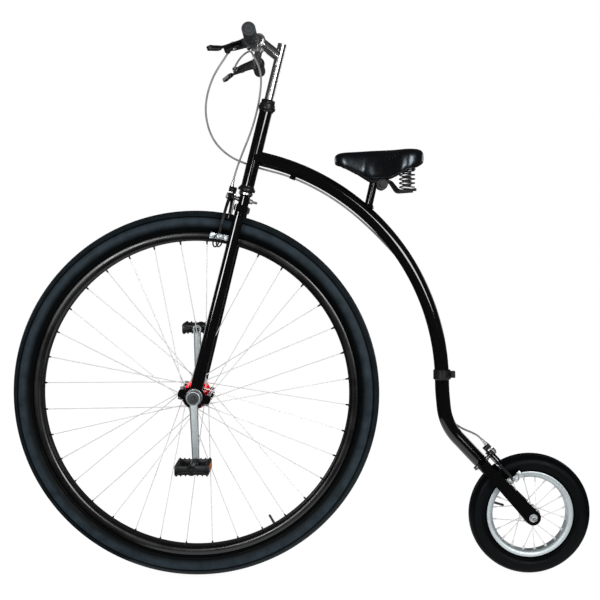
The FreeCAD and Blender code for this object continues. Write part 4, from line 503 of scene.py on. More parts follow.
def seen_directly(tree: bpy.types.NodeTree) -> Socket:
    """Tells what is seen, straight or in gloss or glass, from what only lights the object.

    Args:
        tree: The node tree that the test is added to.

    Returns:
        1 for camera, glossy and transmission rays, and 0 for the others.
    """
    path = tree.nodes.new("ShaderNodeLightPath")
    level = path.outputs["Is Camera Ray"]
    for name in ("Is Glossy Ray", "Is Transmission Ray"):
        larger = tree.nodes.new("ShaderNodeMath")
        larger.operation = "MAXIMUM"
        tree.links.new(level, larger.inputs[0])
        tree.links.new(path.outputs[name], larger.inputs[1])
        level = larger.outputs["Value"]
    return level


@dataclass(frozen=True)
class PaleFloor:
    """A plain pale studio floor that keeps the object's shadow."""

    name: str = "pale_floor"
    colour: Triple = (0.9, 0.9, 0.9)
    glow: float = 1.11                  # how bright the part that the camera sees is
    shadow_share: float = 0.16          # how much of what the camera sees takes the shadow

    def build(self) -> Material:
        """Makes the material: white where it is seen, matt white to other light, and clear from below.

        Returns:
            The new material.
        """
        graph = Graph(self.name)
        graph.surface({"Base Color": self.colour, "Roughness": 0.9, "Specular IOR Level": 0.0})
        glow = graph.node("Emission", {"Color": (1.0, 1.0, 1.0, 1.0), "Strength": self.glow})
        share = graph.node("Math", {0: seen_directly(graph.tree), 1: 1.0 - self.shadow_share}, operation="MULTIPLY")
        mixed = graph.node("MixShader", {
            0: share.outputs["Value"], 1: graph.shader.outputs["BSDF"], 2: glow.outputs["Emission"],
        })
        below = graph.node("NewGeometry").outputs["Backfacing"]
        clear = graph.node("BsdfTransparent").outputs["BSDF"]
        one_sided = graph.node("MixShader", {0: below, 1: mixed.outputs["Shader"], 2: clear})
        graph.feed(graph.tree.nodes["Material Output"].inputs["Surface"], one_sided.outputs["Shader"])
        return graph.material


@dataclass(frozen=True)
class BlackFlag:
    """Dark felt that takes most of the room's light out of reflections."""

    name: str = "dark_felt"
    colour: Triple = (0.004, 0.004, 0.004)
    glow: float = 0.05

    def build(self) -> Material:
        """Makes the material.

        Returns:
            The new material.
        """
        graph = Graph(self.name)
        return graph.surface({
            "Base Color": self.colour, "Roughness": 1.0, "Specular IOR Level": 0.0,
            "Emission Color": (1.0, 1.0, 1.0), "Emission Strength": self.glow,
        })


class Finish(Enum):
    """Every finish on the bicycle, by the name of the record's material slot or of a finer division of it."""

    BLACK_PAINT = GlossPaint()
    RIM_PAINT = GlossPaint("rim_paint", roughness=0.24)
    BLACK_METAL = SatinBlack()
    CHROME = BrightMetal("chrome_plate", (0.74, 0.74, 0.74), (0.66, 0.66, 0.66), roughness=0.2, grain_depth=0.003)
    STEEL = BrightMetal("bright_steel", (0.62, 0.62, 0.63), (0.45, 0.45, 0.46), roughness=0.26,
                        brushed=(1.0, 6.0, 1.0), grain_scale=260.0, grain_depth=0.015)
    SPOKE_STEEL = BrightMetal("spoke_zinc", (0.88, 0.88, 0.88), (0.78, 0.78, 0.78), roughness=0.42, metallic=0.3)
    DARK_STEEL = BrightMetal("dark_steel", (0.12, 0.125, 0.13), (0.07, 0.075, 0.08), roughness=0.44,
                             brushed=(1.0, 6.0, 1.0), grain_scale=260.0, grain_depth=0.01)
    BRIGHT_NUT = BrightMetal("bright_nut", (0.70, 0.75, 0.77), (0.60, 0.64, 0.66), roughness=0.42, grain_depth=0.01)
    ALUMINIUM = BrightMetal("polished_aluminium", (0.60, 0.66, 0.68), (0.49, 0.54, 0.56), roughness=0.46,
                            brushed=(1.0, 1.0, 5.0), grain_depth=0.03)
    RED_ANODISED = BrightMetal("red_anodised", (0.75, 0.012, 0.02), (0.5, 0.008, 0.012), roughness=0.22,
                               brushed=(1.0, 8.0, 1.0))
    SILVER_HUB = BrightMetal("machined_aluminium", (0.70, 0.71, 0.72), (0.58, 0.59, 0.6), roughness=0.3,
                             brushed=(1.0, 9.0, 1.0))
    TYRE = TyreRubber()
    RUBBER = Moulded("black_rubber", (0.012, 0.015, 0.017), (0.030, 0.036, 0.040), roughness=0.42)
    CABLE = Moulded("cable_housing", (0.20, 0.20, 0.20), (0.28, 0.28, 0.28), roughness=0.3, grain_scale=900.0,
                    grain_depth=0.05, specular=0.5)
    PLASTIC = Moulded("black_plastic", (0.003, 0.0035, 0.004), (0.009, 0.010, 0.011), roughness=0.32)
    SADDLE_COVER = SaddleVinyl()
    REFLECTOR = AmberReflector()

    def slot(self) -> str:
        """Returns the record's material slot that this finish belongs to."""
        divisions = {"RIM_PAINT": "black_paint", "SPOKE_STEEL": "steel", "DARK_STEEL": "steel", "BRIGHT_NUT": "steel"}
        return divisions.get(self.name, self.name.lower())


class Paintbox:
    """Makes each finish once and hands it out."""

    def __init__(self) -> None:
        """Starts empty."""
        self.made: dict[Finish, Material] = {}

    def get(self, finish: Finish) -> Material:
        """Finds a material, and makes it the first time.

        Args:
            finish: The finish it is of.

        Returns:
            The material.
        """
        if finish not in self.made:
            self.made[finish] = finish.value.build()
        return self.made[finish]

    def dress(self, name: str, finish: Finish) -> None:
        """Gives a CAD node its finish."""
        for slot in frame["nodes"][name].material_slots:
            slot.material = self.get(finish)


# ---- Shapes

def spline_mesh(lines: Iterable[Sequence[Place]], radius: float, order: int = 3, fineness: int = 8,
                sides: int = 1) -> bpy.types.Mesh:
    """Draws smooth open lines through control points.

    Args:
        lines: The control points of each line.
        radius: Radius of the round bar along each line, or 0 for the bare line.
        order: Order of the spline: 3 is smooth, and 2 is straight runs.
        fineness: Steps of the spline between two control points.
        sides: Roundness of the bar, as Blender's bevel resolution.

    Returns:
        A new mesh in the units of the points.
    """
    data = bpy.data.curves.new("line", "CURVE")
    data.dimensions = "3D"
    data.bevel_depth = radius
    data.bevel_resolution = sides
    data.use_fill_caps = True
    for points in lines:
        spline = data.splines.new("NURBS")
        spline.points.add(len(points) - 1)
        for knot, point in zip(spline.points, points):
            knot.co = (*point, 1.0)
        spline.order_u = order
        spline.use_endpoint_u = True
        spline.resolution_u = fineness
    holder = bpy.data.objects.new("line", data)
    mesh = bpy.data.meshes.new_from_object(holder)
    bpy.data.objects.remove(holder)
    bpy.data.curves.remove(data)
    return mesh


class Shape:
    """A mesh under construction, in millimetres from its datum."""

    def __init__(self) -> None:
        """Starts empty."""
        self.mesh = bmesh.new()

    def add(self, piece: BMesh, matrix: Matrix | None = None) -> "Shape":
        """Takes in another mesh, moved by a matrix, and frees it.

        Args:
            piece: The other mesh.
            matrix: Where it goes, or None where it is in place.

        Returns:
            This shape.
        """
        if matrix is not None:
            piece.transform(matrix)
        made = bpy.data.meshes.new("part")
        piece.to_mesh(made)
        piece.free()
        self.mesh.from_mesh(made)
        bpy.data.meshes.remove(made)
        return self

    def rod(self, start: Place, end: Place, radius: float, end_radius: float | None = None, sides: int = 8) -> "Shape":
        """Adds a round bar or cone between two points.

        Args:
            start: Middle of its first end.
            end: Middle of its second end.
            radius: Radius of its first end.
            end_radius: Radius of its second end, or None for the same.
            sides: How many flat sides it has.

        Returns:
            This shape.
        """
        low = Vector(start)
        way = Vector(end) - low
        bmesh.ops.create_cone(
            self.mesh, cap_ends=True, segments=sides, radius1=radius,
            radius2=radius if end_radius is None else end_radius, depth=way.length,
            matrix=aimed(low + way / 2, way),
        )
        return self

    def block(self, low: Place, high: Place, rounding: float = 0.0) -> "Shape":
        """Adds a box.

        Args:
            low: Its lowest corner.
            high: Its highest corner.
            rounding: Width that its edges are rounded by.

        Returns:
            This shape.
        """
        size = Vector(high) - Vector(low)
        piece = bmesh.new()
        bmesh.ops.create_cube(piece, size=1.0)
        piece.transform(Matrix.Translation(Vector(low) + size / 2) @ Matrix.Diagonal((*size, 1.0)))
        soften(piece, rounding)
        return self.add(piece)

    def hexagon(self, start: Place, way: Place, flats: float, height: float, chamfer: float) -> "Shape":
        """Adds a hexagon nut or bolt head.

        Args:
            start: Middle of the face it stands on.
            way: Which way it stands.
            flats: Width across its flats.
            height: How high it stands.
            chamfer: Width that its edges are rounded by.

        Returns:
            This shape.
        """
        piece = bmesh.new()
        reach = flats / math.sqrt(3)
        bmesh.ops.create_cone(piece, cap_ends=True, segments=6, radius1=reach, radius2=reach, depth=height,
                              matrix=Matrix.Translation((0.0, 0.0, height / 2)))
        soften(piece, chamfer)
        return self.add(piece, aimed(start, way))

    def knurled(self, middle: Place, way: Place, radii: Pair, height: float, notches: int, notch: Pair) -> "Shape":
        """Adds a disc or cap with notches round its rim.

        Args:
            middle: The middle of the disc.
            way: Which way its axis runs.
            radii: Its radius at the start and at the end of the axis.
            height: How long it is along the axis.
            notches: How many notches it has.
            notch: The width of the rib beside each notch, and how deep the notch is.

        Returns:
            This shape.
        """
        piece = bmesh.new()
        bmesh.ops.create_cone(piece, cap_ends=True, segments=notches * 2, radius1=radii[0], radius2=radii[1],
                              depth=height)
        sides = [face for face in piece.faces if len(face.verts) == 4]
        bmesh.ops.inset_individual(piece, faces=sides[::2], thickness=notch[0], depth=-notch[1])
        return self.add(piece, aimed(middle, way))

    def lathe(self, outline: Sequence[Pair], start: Place = (0.0, 0.0, 0.0), way: Place = (0.0, 1.0, 0.0),
              steps: int = 48, rounding: float = 0.0, closed: bool = True) -> "Shape":
        """Turns an outline about an axis.

        Args:
            outline: Radius and distance along the axis of each corner.
            start: Where the axis starts.
            way: Which way the axis runs.
            steps: How many steps make the full turn.
            rounding: Width that the sharp circular edges are rounded by.
            closed: Whether the last corner joins the first; otherwise both ends lie on the axis.

        Returns:
            This shape.
        """
        piece = bmesh.new()
        corners = [piece.verts.new((radius, 0.0, along)) for radius, along in outline]
        following = corners[1:] + corners[:1] if closed else corners[1:]
        edges = [piece.edges.new(ends) for ends in zip(corners, following)]
        bmesh.ops.spin(piece, geom=corners + edges, cent=(0.0, 0.0, 0.0), axis=(0.0, 0.0, 1.0),
                       angle=math.tau, steps=steps, use_merge=True)
        weld(piece)
        soften(piece, rounding)
        return self.add(piece, aimed(start, way))

    def strap(self, start: Place, start_radius: float, end: Place, end_radius: float, way: Place,
              thickness: float, rounding: float, segments: int) -> "Shape":
        """Adds a flat bar with round ends.

        Args:
            start: Middle of its first end.
            start_radius: Radius of its first end.
            end: Middle of its second end.
            end_radius: Radius of its second end.
            way: Direction across its thickness.
            thickness: How thick it is.
            rounding: Width that its edges are rounded by.
            segments: Steps of that rounding.

        Returns:
            This shape.
        """
        piece = bmesh.new()
        for centre, radius in ((start, start_radius), (end, end_radius)):
            bmesh.ops.create_cone(piece, cap_ends=False, segments=40, radius1=radius, radius2=radius,
                                  depth=thickness, matrix=aimed(centre, way))
        bmesh.ops.delete(piece, geom=piece.edges[:], context="EDGES_FACES")
        hull = bmesh.ops.convex_hull(piece, input=piece.verts[:], use_existing_faces=False)
        spare = [item for item in hull["geom_interior"] + hull["geom_unused"]
                 if isinstance(item, bmesh.types.BMVert)]
        bmesh.ops.delete(piece, geom=list(set(spare)), context="VERTS")
        bmesh.ops.dissolve_limit(piece, angle_limit=math.radians(1.0), verts=piece.verts, edges=piece.edges)
        soften(piece, rounding, segments)
        return self.add(piece)

    def bend(self, lines: Iterable[Sequence[Place]], radius: float, order: int = 3, fineness: int = 8,
             sides: int = 1) -> "Shape":
        """Adds round bars along smooth lines, as spline_mesh draws them.

        Args:
            lines: The control points of each line.
            radius: Radius of the bars.
            order: Order of the spline.
            fineness: Its steps between two points.
            sides: Roundness of the bars.

        Returns:
            This shape.
        """
        made = spline_mesh(lines, radius, order, fineness, sides)
        piece = bmesh.new()
        piece.from_mesh(made)
        bpy.data.meshes.remove(made)
        weld(piece)
        return self.add(piece)

    def take(self, name: str, datum: Datum = Datum.BICYCLE) -> "Shape":
        """Adds a merged copy of a CAD node.

        Args:
            name: The node.
            datum: The frame that this shape is in.

        Returns:
            This shape.
        """
        piece = bmesh.new()
        piece.from_mesh(frame["nodes"][name].data)
        piece.transform((to_object() @ datum.matrix()).inverted())
        bmesh.ops.remove_doubles(piece, verts=piece.verts, dist=0.002)
        return self.add(piece)

    def turn(self, matrix: Matrix) -> "Shape":
        """Moves the whole shape.

        Args:
            matrix: How it moves; a mirror turns no face inside out.

        Returns:
            This shape.
        """
        self.mesh.transform(matrix)
        if matrix.determinant() < 0:
            bmesh.ops.reverse_faces(self.mesh, faces=self.mesh.faces)
        return self


def weld(piece: BMesh) -> None:
    """Merges the points of a mesh that coincide, and turns its faces outwards."""
    bmesh.ops.remove_doubles(piece, verts=piece.verts, dist=0.0005)
    bmesh.ops.recalc_face_normals(piece, faces=piece.faces)


def soften(piece: BMesh, width: float, segments: int = 2, angle: float = 30.0) -> None:
    """Rounds the sharp edges of a mesh.

    Args:
        piece: The mesh.
        width: Width that they are rounded by.
        segments: Steps of the rounding.
        angle: Angle in degrees above which an edge is sharp.
    """
    if width <= 0.0:
        return
    limit = math.radians(angle)
    edges = [edge for edge in piece.edges if len(edge.link_faces) == 2 and edge.calc_face_angle(0.0) > limit]
    bmesh.ops.bevel(piece, geom=edges, offset=width, offset_type="OFFSET", segments=segments, profile=0.5,
                    affect="EDGES", clamp_overlap=True, material=-1)


class Workshop:
    """Turns finished shapes into pieces of the bicycle."""

    def __init__(self) -> None:
        """Opens with a fresh paintbox."""
        self.paints = Paintbox()

    def put(self, shape: Shape, name: str, finish: Finish, body: str | None, datum: Datum = Datum.BICYCLE,
            replaces: Sequence[str] = (), sharp: float = 32.0) -> bpy.types.Object:
        """Makes a piece and hangs it on its body.

        Args:
            shape: The finished shape, which is freed.
            name: The piece's name, to which "_detail" is added where a CAD node has it.
            finish: What it is finished in.
            body: The body that carries it, or None where the caller hangs it on one later or leaves it on none.
            datum: The frame that the shape was modelled in.
            replaces: CAD nodes that the piece stands for.
            sharp: Angle in degrees above which an edge looks sharp.

        Returns:
            The new object.
        """
        if name in frame["nodes"]:
            name += "_detail"
        shape.mesh.transform(to_object() @ datum.matrix())
        mesh = bpy.data.meshes.new(name)
        shape.mesh.to_mesh(mesh)
        shape.mesh.free()
        mesh.shade_smooth()
        mesh.set_sharp_from_angle(angle=math.radians(sharp))
        mesh.materials.append(self.paints.get(finish))
        piece = bpy.data.objects.new(name, mesh)
        bpy.context.collection.objects.link(piece)
        if body:
            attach(piece, body)
        finish.slot()
        if replaces:
            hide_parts(*replaces)
        LOG.info("%s: %d faces on %s", name, len(mesh.polygons), body or "no body yet")
        return piece

    def keep(self) -> None:
        """Gives every CAD node the finish of its material slot, or a finer one that suits it better."""
        finer = {"saddle_clamp": Finish.BLACK_METAL, "seat_post": Finish.BLACK_PAINT,
                 "front_pad_holders": Finish.BRIGHT_NUT, "rear_pad_holders": Finish.BRIGHT_NUT}
        for part in frame["record"]["subparts"]:
            plain = Finish[part["material_slot"].upper()]
            self.paints.dress(part["node"], finer.get(part["node"], plain))


# ---- Wheels

@dataclass
class Tyre:
    """A tyre: tread blocks between two grooves, a smooth wall with fine ribs, and two beads."""

    BLOOM: ClassVar[str] = "bloom"
    GROOVE: ClassVar[tuple[Pair, ...]] = ((-3.0, 0.0), (-1.6, 1.0), (1.6, 1.0), (3.0, 0.0))     # angle and depth
    RIBS: ClassVar[tuple[int, int]] = (11, 14)      # steps of the wall that the fine ribs stand on

    name: str
    body: str
    datum: Datum
    radius: float
    width: float
    bead: float
    rim_width: float
    steps: int
    block_rows: tuple[Pair, ...]        # angles across the tread that each row of blocks lies between
    groove: float                       # angle across the tread of the groove above each wall
    groove_depth: float = 1.8
    tread_depth: float = 1.1
    block_gap: float = 0.9
    slant: float = 1.2                  # steps that the blocks lean by at the edge of the tread
    wall: float = 4.0
    flange_height: float = 5.5
    foot: Pair = (4.2, 7.2)             # how far the wall's outside and inside stand in from the rim's edge
    rib_height: float = 0.5
    bloom: float = 1.0                  # how strong the painted sheen and dust on the walls are
    clean: float = 16.0                 # how far above the bead the painted sheen begins; below it lies painted shade
    groove_shade: float = 2.6           # how far from the groove its painted shade reaches
    edge_bloom: float = 0.4             # the share of painted sheen and dust between the groove and the blocks

    def build(self, shop: Workshop) -> None:
        """Makes the tyre.

        Args:
            shop: Takes the finished pieces.
        """
        shape = Shape().lathe(self.outline(), steps=self.steps)
        self.raise_blocks(shape.mesh)
        self.lean_blocks(shape.mesh)
        piece = shop.put(shape, self.name, Finish.TYRE, self.body, self.datum, [self.name], sharp=28.0)
        self.dust(piece.data)

    def dust(self, mesh: bpy.types.Mesh) -> None:
        """Stores where the painted sheen and dust go: most on the bulge, with painted shade near the rim and in the
        grooves.

        Args:
            mesh: The finished tyre.
        """
        to_datum = (to_object() @ self.datum.matrix()).inverted()
        layer = mesh.attributes.new(self.BLOOM, "FLOAT", "POINT")
        low = self.bead + self.clean
        groove = self.crown() + self.width / 2 * math.cos(math.radians(self.groove))
        for corner, value in zip(mesh.vertices, layer.data):
            place = to_datum @ corner.co
            height = math.hypot(place.x, place.z)
            # painted shade: the sheen fades out towards the bead and beside the groove
            rise = min(max((height - low) / (self.crown() - low), 0.0), 1.0)
            beside = min(abs(height - groove) / self.groove_shade, 1.0)
            share = self.edge_bloom if height > groove else 1.0
            value.value = self.bloom * rise * rise * (3.0 - 2.0 * rise) * beside**2 * share

    def crown(self) -> float:
        """Returns the radius of the middle of the round tread."""
        return self.radius - self.width / 2

    def tread_edge(self) -> float:
        """Returns the angle across the tread where the blocks end."""
        return max(high for _, high in self.block_rows) + 2.0

    def depths(self) -> dict[float, float]:
        """Works out how deep the tread lies below its round outline.

        Returns:
            The depth at each angle across the tread.
        """
        edge = self.tread_edge()
        marks = {float(angle): 0.0 for angle in range(-90, 91, 6) if abs(angle) > edge + 1.0}
        for low, high in self.block_rows:
            marks.update(dict.fromkeys((low, (low + high) / 2, high), self.tread_depth))
        for sign in (-1.0, 1.0):
            marks[sign * (edge + 0.5)] = self.tread_depth
            marks[sign * (edge + 2.0)] = 0.0
            for angle in [mark for mark in marks if abs(mark - sign * self.groove) < 3.5]:
                del marks[angle]
            for offset, share in self.GROOVE:
                marks[sign * (self.groove + offset)] = share * self.groove_depth
        return marks

    def outline(self) -> list[Pair]:
        """Draws the section.

        Returns:
            The radius and the distance across of each corner.
        """
        half = self.width / 2
        line = []
        for angle, depth in sorted(self.depths().items()):
            turn = math.radians(angle)
            reach = half - depth
            line.append((self.crown() + reach * math.cos(turn), reach * math.sin(turn)))
        outer = self.wall_line(half, self.rim_width / 2 - self.foot[0], ribs=True)
        inner = self.wall_line(half - self.wall, self.rim_width / 2 - self.foot[1], ribs=False)
        foot = self.bead + 0.3
        right = outer + [(foot, outer[-1][1]), (foot, inner[-1][1])] + inner[::-1]
        left = [(radius, -across) for radius, across in right]
        return line + right + [(self.radius - self.wall, 0.0)] + left[::-1]

    def wall_line(self, top: float, bottom: float, ribs: bool) -> list[Pair]:
        """Draws one wall as an arc from the tread's edge to the rim, with two fine ribs near its foot.

        Args:
            top: Distance across of its top.
            bottom: Distance across of its foot.
            ribs: Whether it has the ribs.

        Returns:
            The radius and the distance across of each corner, after the top.
        """
        neck = self.bead + self.flange_height + 1.5
        rise = self.crown() - neck
        reach = top - bottom
        sweep = (reach**2 + rise**2) / (2 * reach)
        points = []
        steps = 16 if ribs else 5
        for step in range(1, steps + 1):
            turn = math.asin(rise / sweep) * step / steps
            proud = self.rib_height if ribs and step in self.RIBS else 0.0
            points.append((self.crown() - (sweep + proud) * math.sin(turn),
                           top - sweep + (sweep + proud) * math.cos(turn)))
        return points

    def raise_blocks(self, mesh: BMesh) -> None:
        """Lifts the tread's blocks, every other step at a time so that neighbours stay apart.

        Args:
            mesh: The turned tyre.
        """
        turns: tuple[list, list] = ([], [])
        for face in mesh.faces:
            centre = face.calc_center_median()
            out = math.hypot(centre.x, centre.z) - self.crown()
            angle = math.degrees(math.atan2(centre.y, out))
            low_enough = math.hypot(out, centre.y) > self.width / 2 - self.tread_depth - 1.0
            if low_enough and any(low < angle < high for low, high in self.block_rows):
                step = int(math.atan2(centre.z, centre.x) % math.tau / math.tau * self.steps)
                turns[step % 2].append(face)
        for faces in turns:
            bmesh.ops.inset_region(mesh, faces=faces, thickness=self.block_gap, depth=self.tread_depth,
                                   use_boundary=True, use_even_offset=True)

    def lean_blocks(self, mesh: BMesh) -> None:
        """Turns the tread a little more the further it lies from the middle, into a herringbone.

        Args:
            mesh: The tyre with its blocks.
        """
        limit = math.radians(self.tread_edge())
        step = math.tau / self.steps
        for corner in mesh.verts:
            place = corner.co
            out = math.hypot(place.x, place.z) - self.crown()
            share = min(abs(math.atan2(place.y, out)) / limit, 1.0)
            corner.co = Matrix.Rotation(share * self.slant * step, 3, "Y") @ place


@dataclass
class Rim:
    """A deep rim with rounded edges, flat braking tracks and a well for the tyre's beads."""

    name: str
    body: str
    datum: Datum
    finish: Finish
    bead: float
    inner: float
    width: float
    steps: int
    rounding: float = 0.9
    flange_height: float = 5.5
    flange_thickness: float = 3.0

    def build(self, shop: Workshop) -> None:
        """Makes the rim."""
        shape = Shape().lathe(self.outline(), steps=self.steps, rounding=self.rounding)
        shop.put(shape, self.name, self.finish, self.body, self.datum, [self.name], sharp=40.0)

    def outline(self) -> list[Pair]:
        """Draws the section.

        Returns:
            The radius and the distance across of each corner.
        """
        half = self.width / 2
        foot = half - 6.0
        flange = half - self.flange_thickness
        seat = flange - 0.9
        top = self.bead + self.flange_height
        side = [
            (self.inner, foot), (self.inner + 3.0, foot + 3.4), (self.inner + 8.0, half), (top, half),
            (top, flange), (self.bead, seat), (self.bead, seat - 7.0), (self.bead - 3.0, 5.0),
        ]
        return side + [(radius, -across) for radius, across in reversed(side)]


@dataclass
class Spokes:
    """Laced spokes with bent heads, nipples and eyelets, lying where the hub and rim hold them."""

    name: str
    body: str
    datum: Datum
    nipple_finish: Finish
    count: int
    first_angle: float
    cross_angle: float
    hole_radius: float
    flange_radius: float
    flange_offset: float
    flange_thickness: float
    rim_radius: float
    radius: float
    nipple_radius: float = 2.2
    nipple_length: float = 12.0
    nipple_neck: float = 3.0            # how much of the nipple's length narrows to the wire
    head: Pair = (0.2, 0.9)             # how far the head reaches in and out of its hole
    straight: Pair = (7.0, 6.0)         # how soon the wire is straight after the elbow and before the rim

    def build(self, shop: Workshop) -> None:
        """Makes the wires with their heads, and the nipples with their eyelets.

        Args:
            shop: Takes the finished pieces.
        """
        lines = []
        wires = Shape()
        nipples = Shape()
        for index in range(self.count):
            head, hole, elbow, rim_end, inward = self.route(index)
            onward = (rim_end - elbow).normalized()
            lines.append([head, hole, elbow, elbow + onward * self.straight[0], rim_end - onward * self.straight[1],
                          rim_end])
            outward = (head - hole).normalized()
            wires.rod(head - outward * self.head[0], head + outward * self.head[1], self.radius * 1.9,
                      self.radius * 1.3, sides=12)
            neck = rim_end + inward * (self.nipple_length - self.nipple_neck)
            nipples.rod(rim_end, neck, self.nipple_radius)
            nipples.rod(neck, rim_end + inward * self.nipple_length, self.nipple_radius, self.radius * 1.2)
            self.eyelet(nipples, index)
        wires.bend(lines, self.radius)
        shop.put(wires, self.name, Finish.SPOKE_STEEL, self.body, self.datum, [self.name], sharp=50.0)
        shop.put(nipples, self.name + "_nipples", self.nipple_finish, self.body, self.datum, sharp=30.0)

    def route(self, index: int) -> tuple[Vector, Vector, Vector, Vector, Vector]:
        """Finds where a spoke runs.

        Args:
            index: Which spoke it is.

        Returns:
            Its head, hole, elbow and rim end, and the way in along it.
        """
        side = 1 if index % 2 == 0 else -1
        lean = 1 if index % 4 in (0, 1) else -1
        rim_angle = math.radians(self.first_angle - index * 360 / self.count)
        hub_angle = rim_angle + math.radians(lean * self.cross_angle)
        hole = polar(self.hole_radius, hub_angle)
        rim_point = polar(self.rim_radius, rim_angle)
        beside = self.flange_thickness / 2 + self.radius * 1.1 + 0.1
        outside = beside + self.flange_offset / (rim_point - hole).length * (self.flange_exit() + 2)
        face = side * (self.flange_offset + (outside if lean == 1 else -beside))
        far = side * (self.flange_offset - lean * (self.flange_thickness / 2 + 0.4))
        middle = side * self.flange_offset
        across = Side.RIGHT.way()
        elbow = hole + across * face
        radial = rim_point.normalized()
        inward = (elbow - rim_point).normalized()
        tilt = inward.cross(radial).length
        rim_end = rim_point + inward * (self.nipple_radius * tilt + 0.1)
        return hole + across * far, hole + across * middle, elbow, rim_end, inward

    def flange_exit(self) -> float:
        """Finds how far a spoke runs over the flange.

        Returns:
            The length from its hole to the flange's edge.
        """
        hole = polar(self.hole_radius, math.radians(self.cross_angle))
        across = Vector((self.rim_radius, 0.0, 0.0)) - hole
        outward = hole.dot(across) / across.length
        return math.sqrt(outward**2 + self.flange_radius**2 - self.hole_radius**2) - outward

    def eyelet(self, shape: Shape, index: int) -> None:
        """Adds the pressed ring that the rim's hole is lined with.

        Args:
            shape: What it is added to.
            index: Which spoke it holds.
        """
        angle = math.radians(self.first_angle - index * 360 / self.count)
        radial = polar(1.0, angle)
        outline = [(2.5, -1.0), (2.5, 1.6), (3.4, 1.6), (4.2, 0.9), (4.2, -1.0)]
        shape.lathe(outline, radial * (self.rim_radius + 0.6), -radial, steps=12)


@dataclass
class Hub:
    """A turned hub: a slim waist with bands, and two flanges that are thinner where the spokes pass."""

    name: str
    body: str
    datum: Datum
    finish: Finish
    shell: float
    flange: float
    flange_offset: float
    flange_thickness: float
    end: float
    bore: float
    hole_radius: float

    def build(self, shop: Workshop) -> None:
        """Makes the hub."""
        shape = Shape().lathe(self.outline(), steps=72, rounding=0.5)
        shop.put(shape, self.name, self.finish, self.body, self.datum, [self.name])

    def outline(self) -> list[Pair]:
        """Draws the section.

        Returns:
            The radius and the distance across of each corner.
        """
        half = self.flange_thickness / 2
        offset = self.flange_offset
        band = self.shell + 0.8
        side = [
            (self.shell, 0.0), (self.shell, 3.0), (band, 3.8), (band, 6.0), (self.shell, 6.8),
            (self.shell, offset - half - 7.0), (self.shell + 1.4, offset - half - 3.0),
            (self.shell + 4.0, offset - half), (self.hole_radius - 3.4, offset - half),
            (self.hole_radius - 2.8, offset - half + 0.4), (self.flange, offset - half + 0.4),
            (self.flange, offset + half), (self.shell + 5.0, offset + half), (self.shell + 3.0, offset + half - 0.6),
            (self.shell + 3.0, offset + half + 1.0), (self.shell + 1.0, self.end - 0.8), (self.shell, self.end),
            (self.bore, self.end),
        ]
        return side + [(radius, -across) for radius, across in reversed(side[1:])]


@dataclass
class Valve:
    """A rubber-covered tyre valve with a knurled cap, standing in from its rim."""

    name: str
    body: str
    datum: Datum
    rim_radius: float
    angle: float
    length: float = 26.0
    cap: float = 8.6
    cap_radii: Pair = (3.2, 2.9)

    def build(self, shop: Workshop) -> None:
        """Makes the valve.

        Args:
            shop: Takes the finished pieces.
        """
        way = -polar(1.0, math.radians(self.angle))
        foot = -way * self.rim_radius
        top = self.length - self.cap
        stem = [(0.0, -4.5), (4.2, -4.5), (4.2, 0.6), (3.6, 1.4), (3.2, 2.0), (3.0, top - 1.4), (2.4, top - 0.8),
                (2.4, top), (0.0, top)]
        shape = Shape().lathe(stem, foot, way, steps=20, closed=False)
        shape.knurled(foot + way * (top + self.cap / 2), way, self.cap_radii, self.cap, notches=10,
                      notch=(0.16, 0.3))
        shop.put(shape, self.name, Finish.RUBBER, self.body, self.datum, [self.name])


# ---- Drive

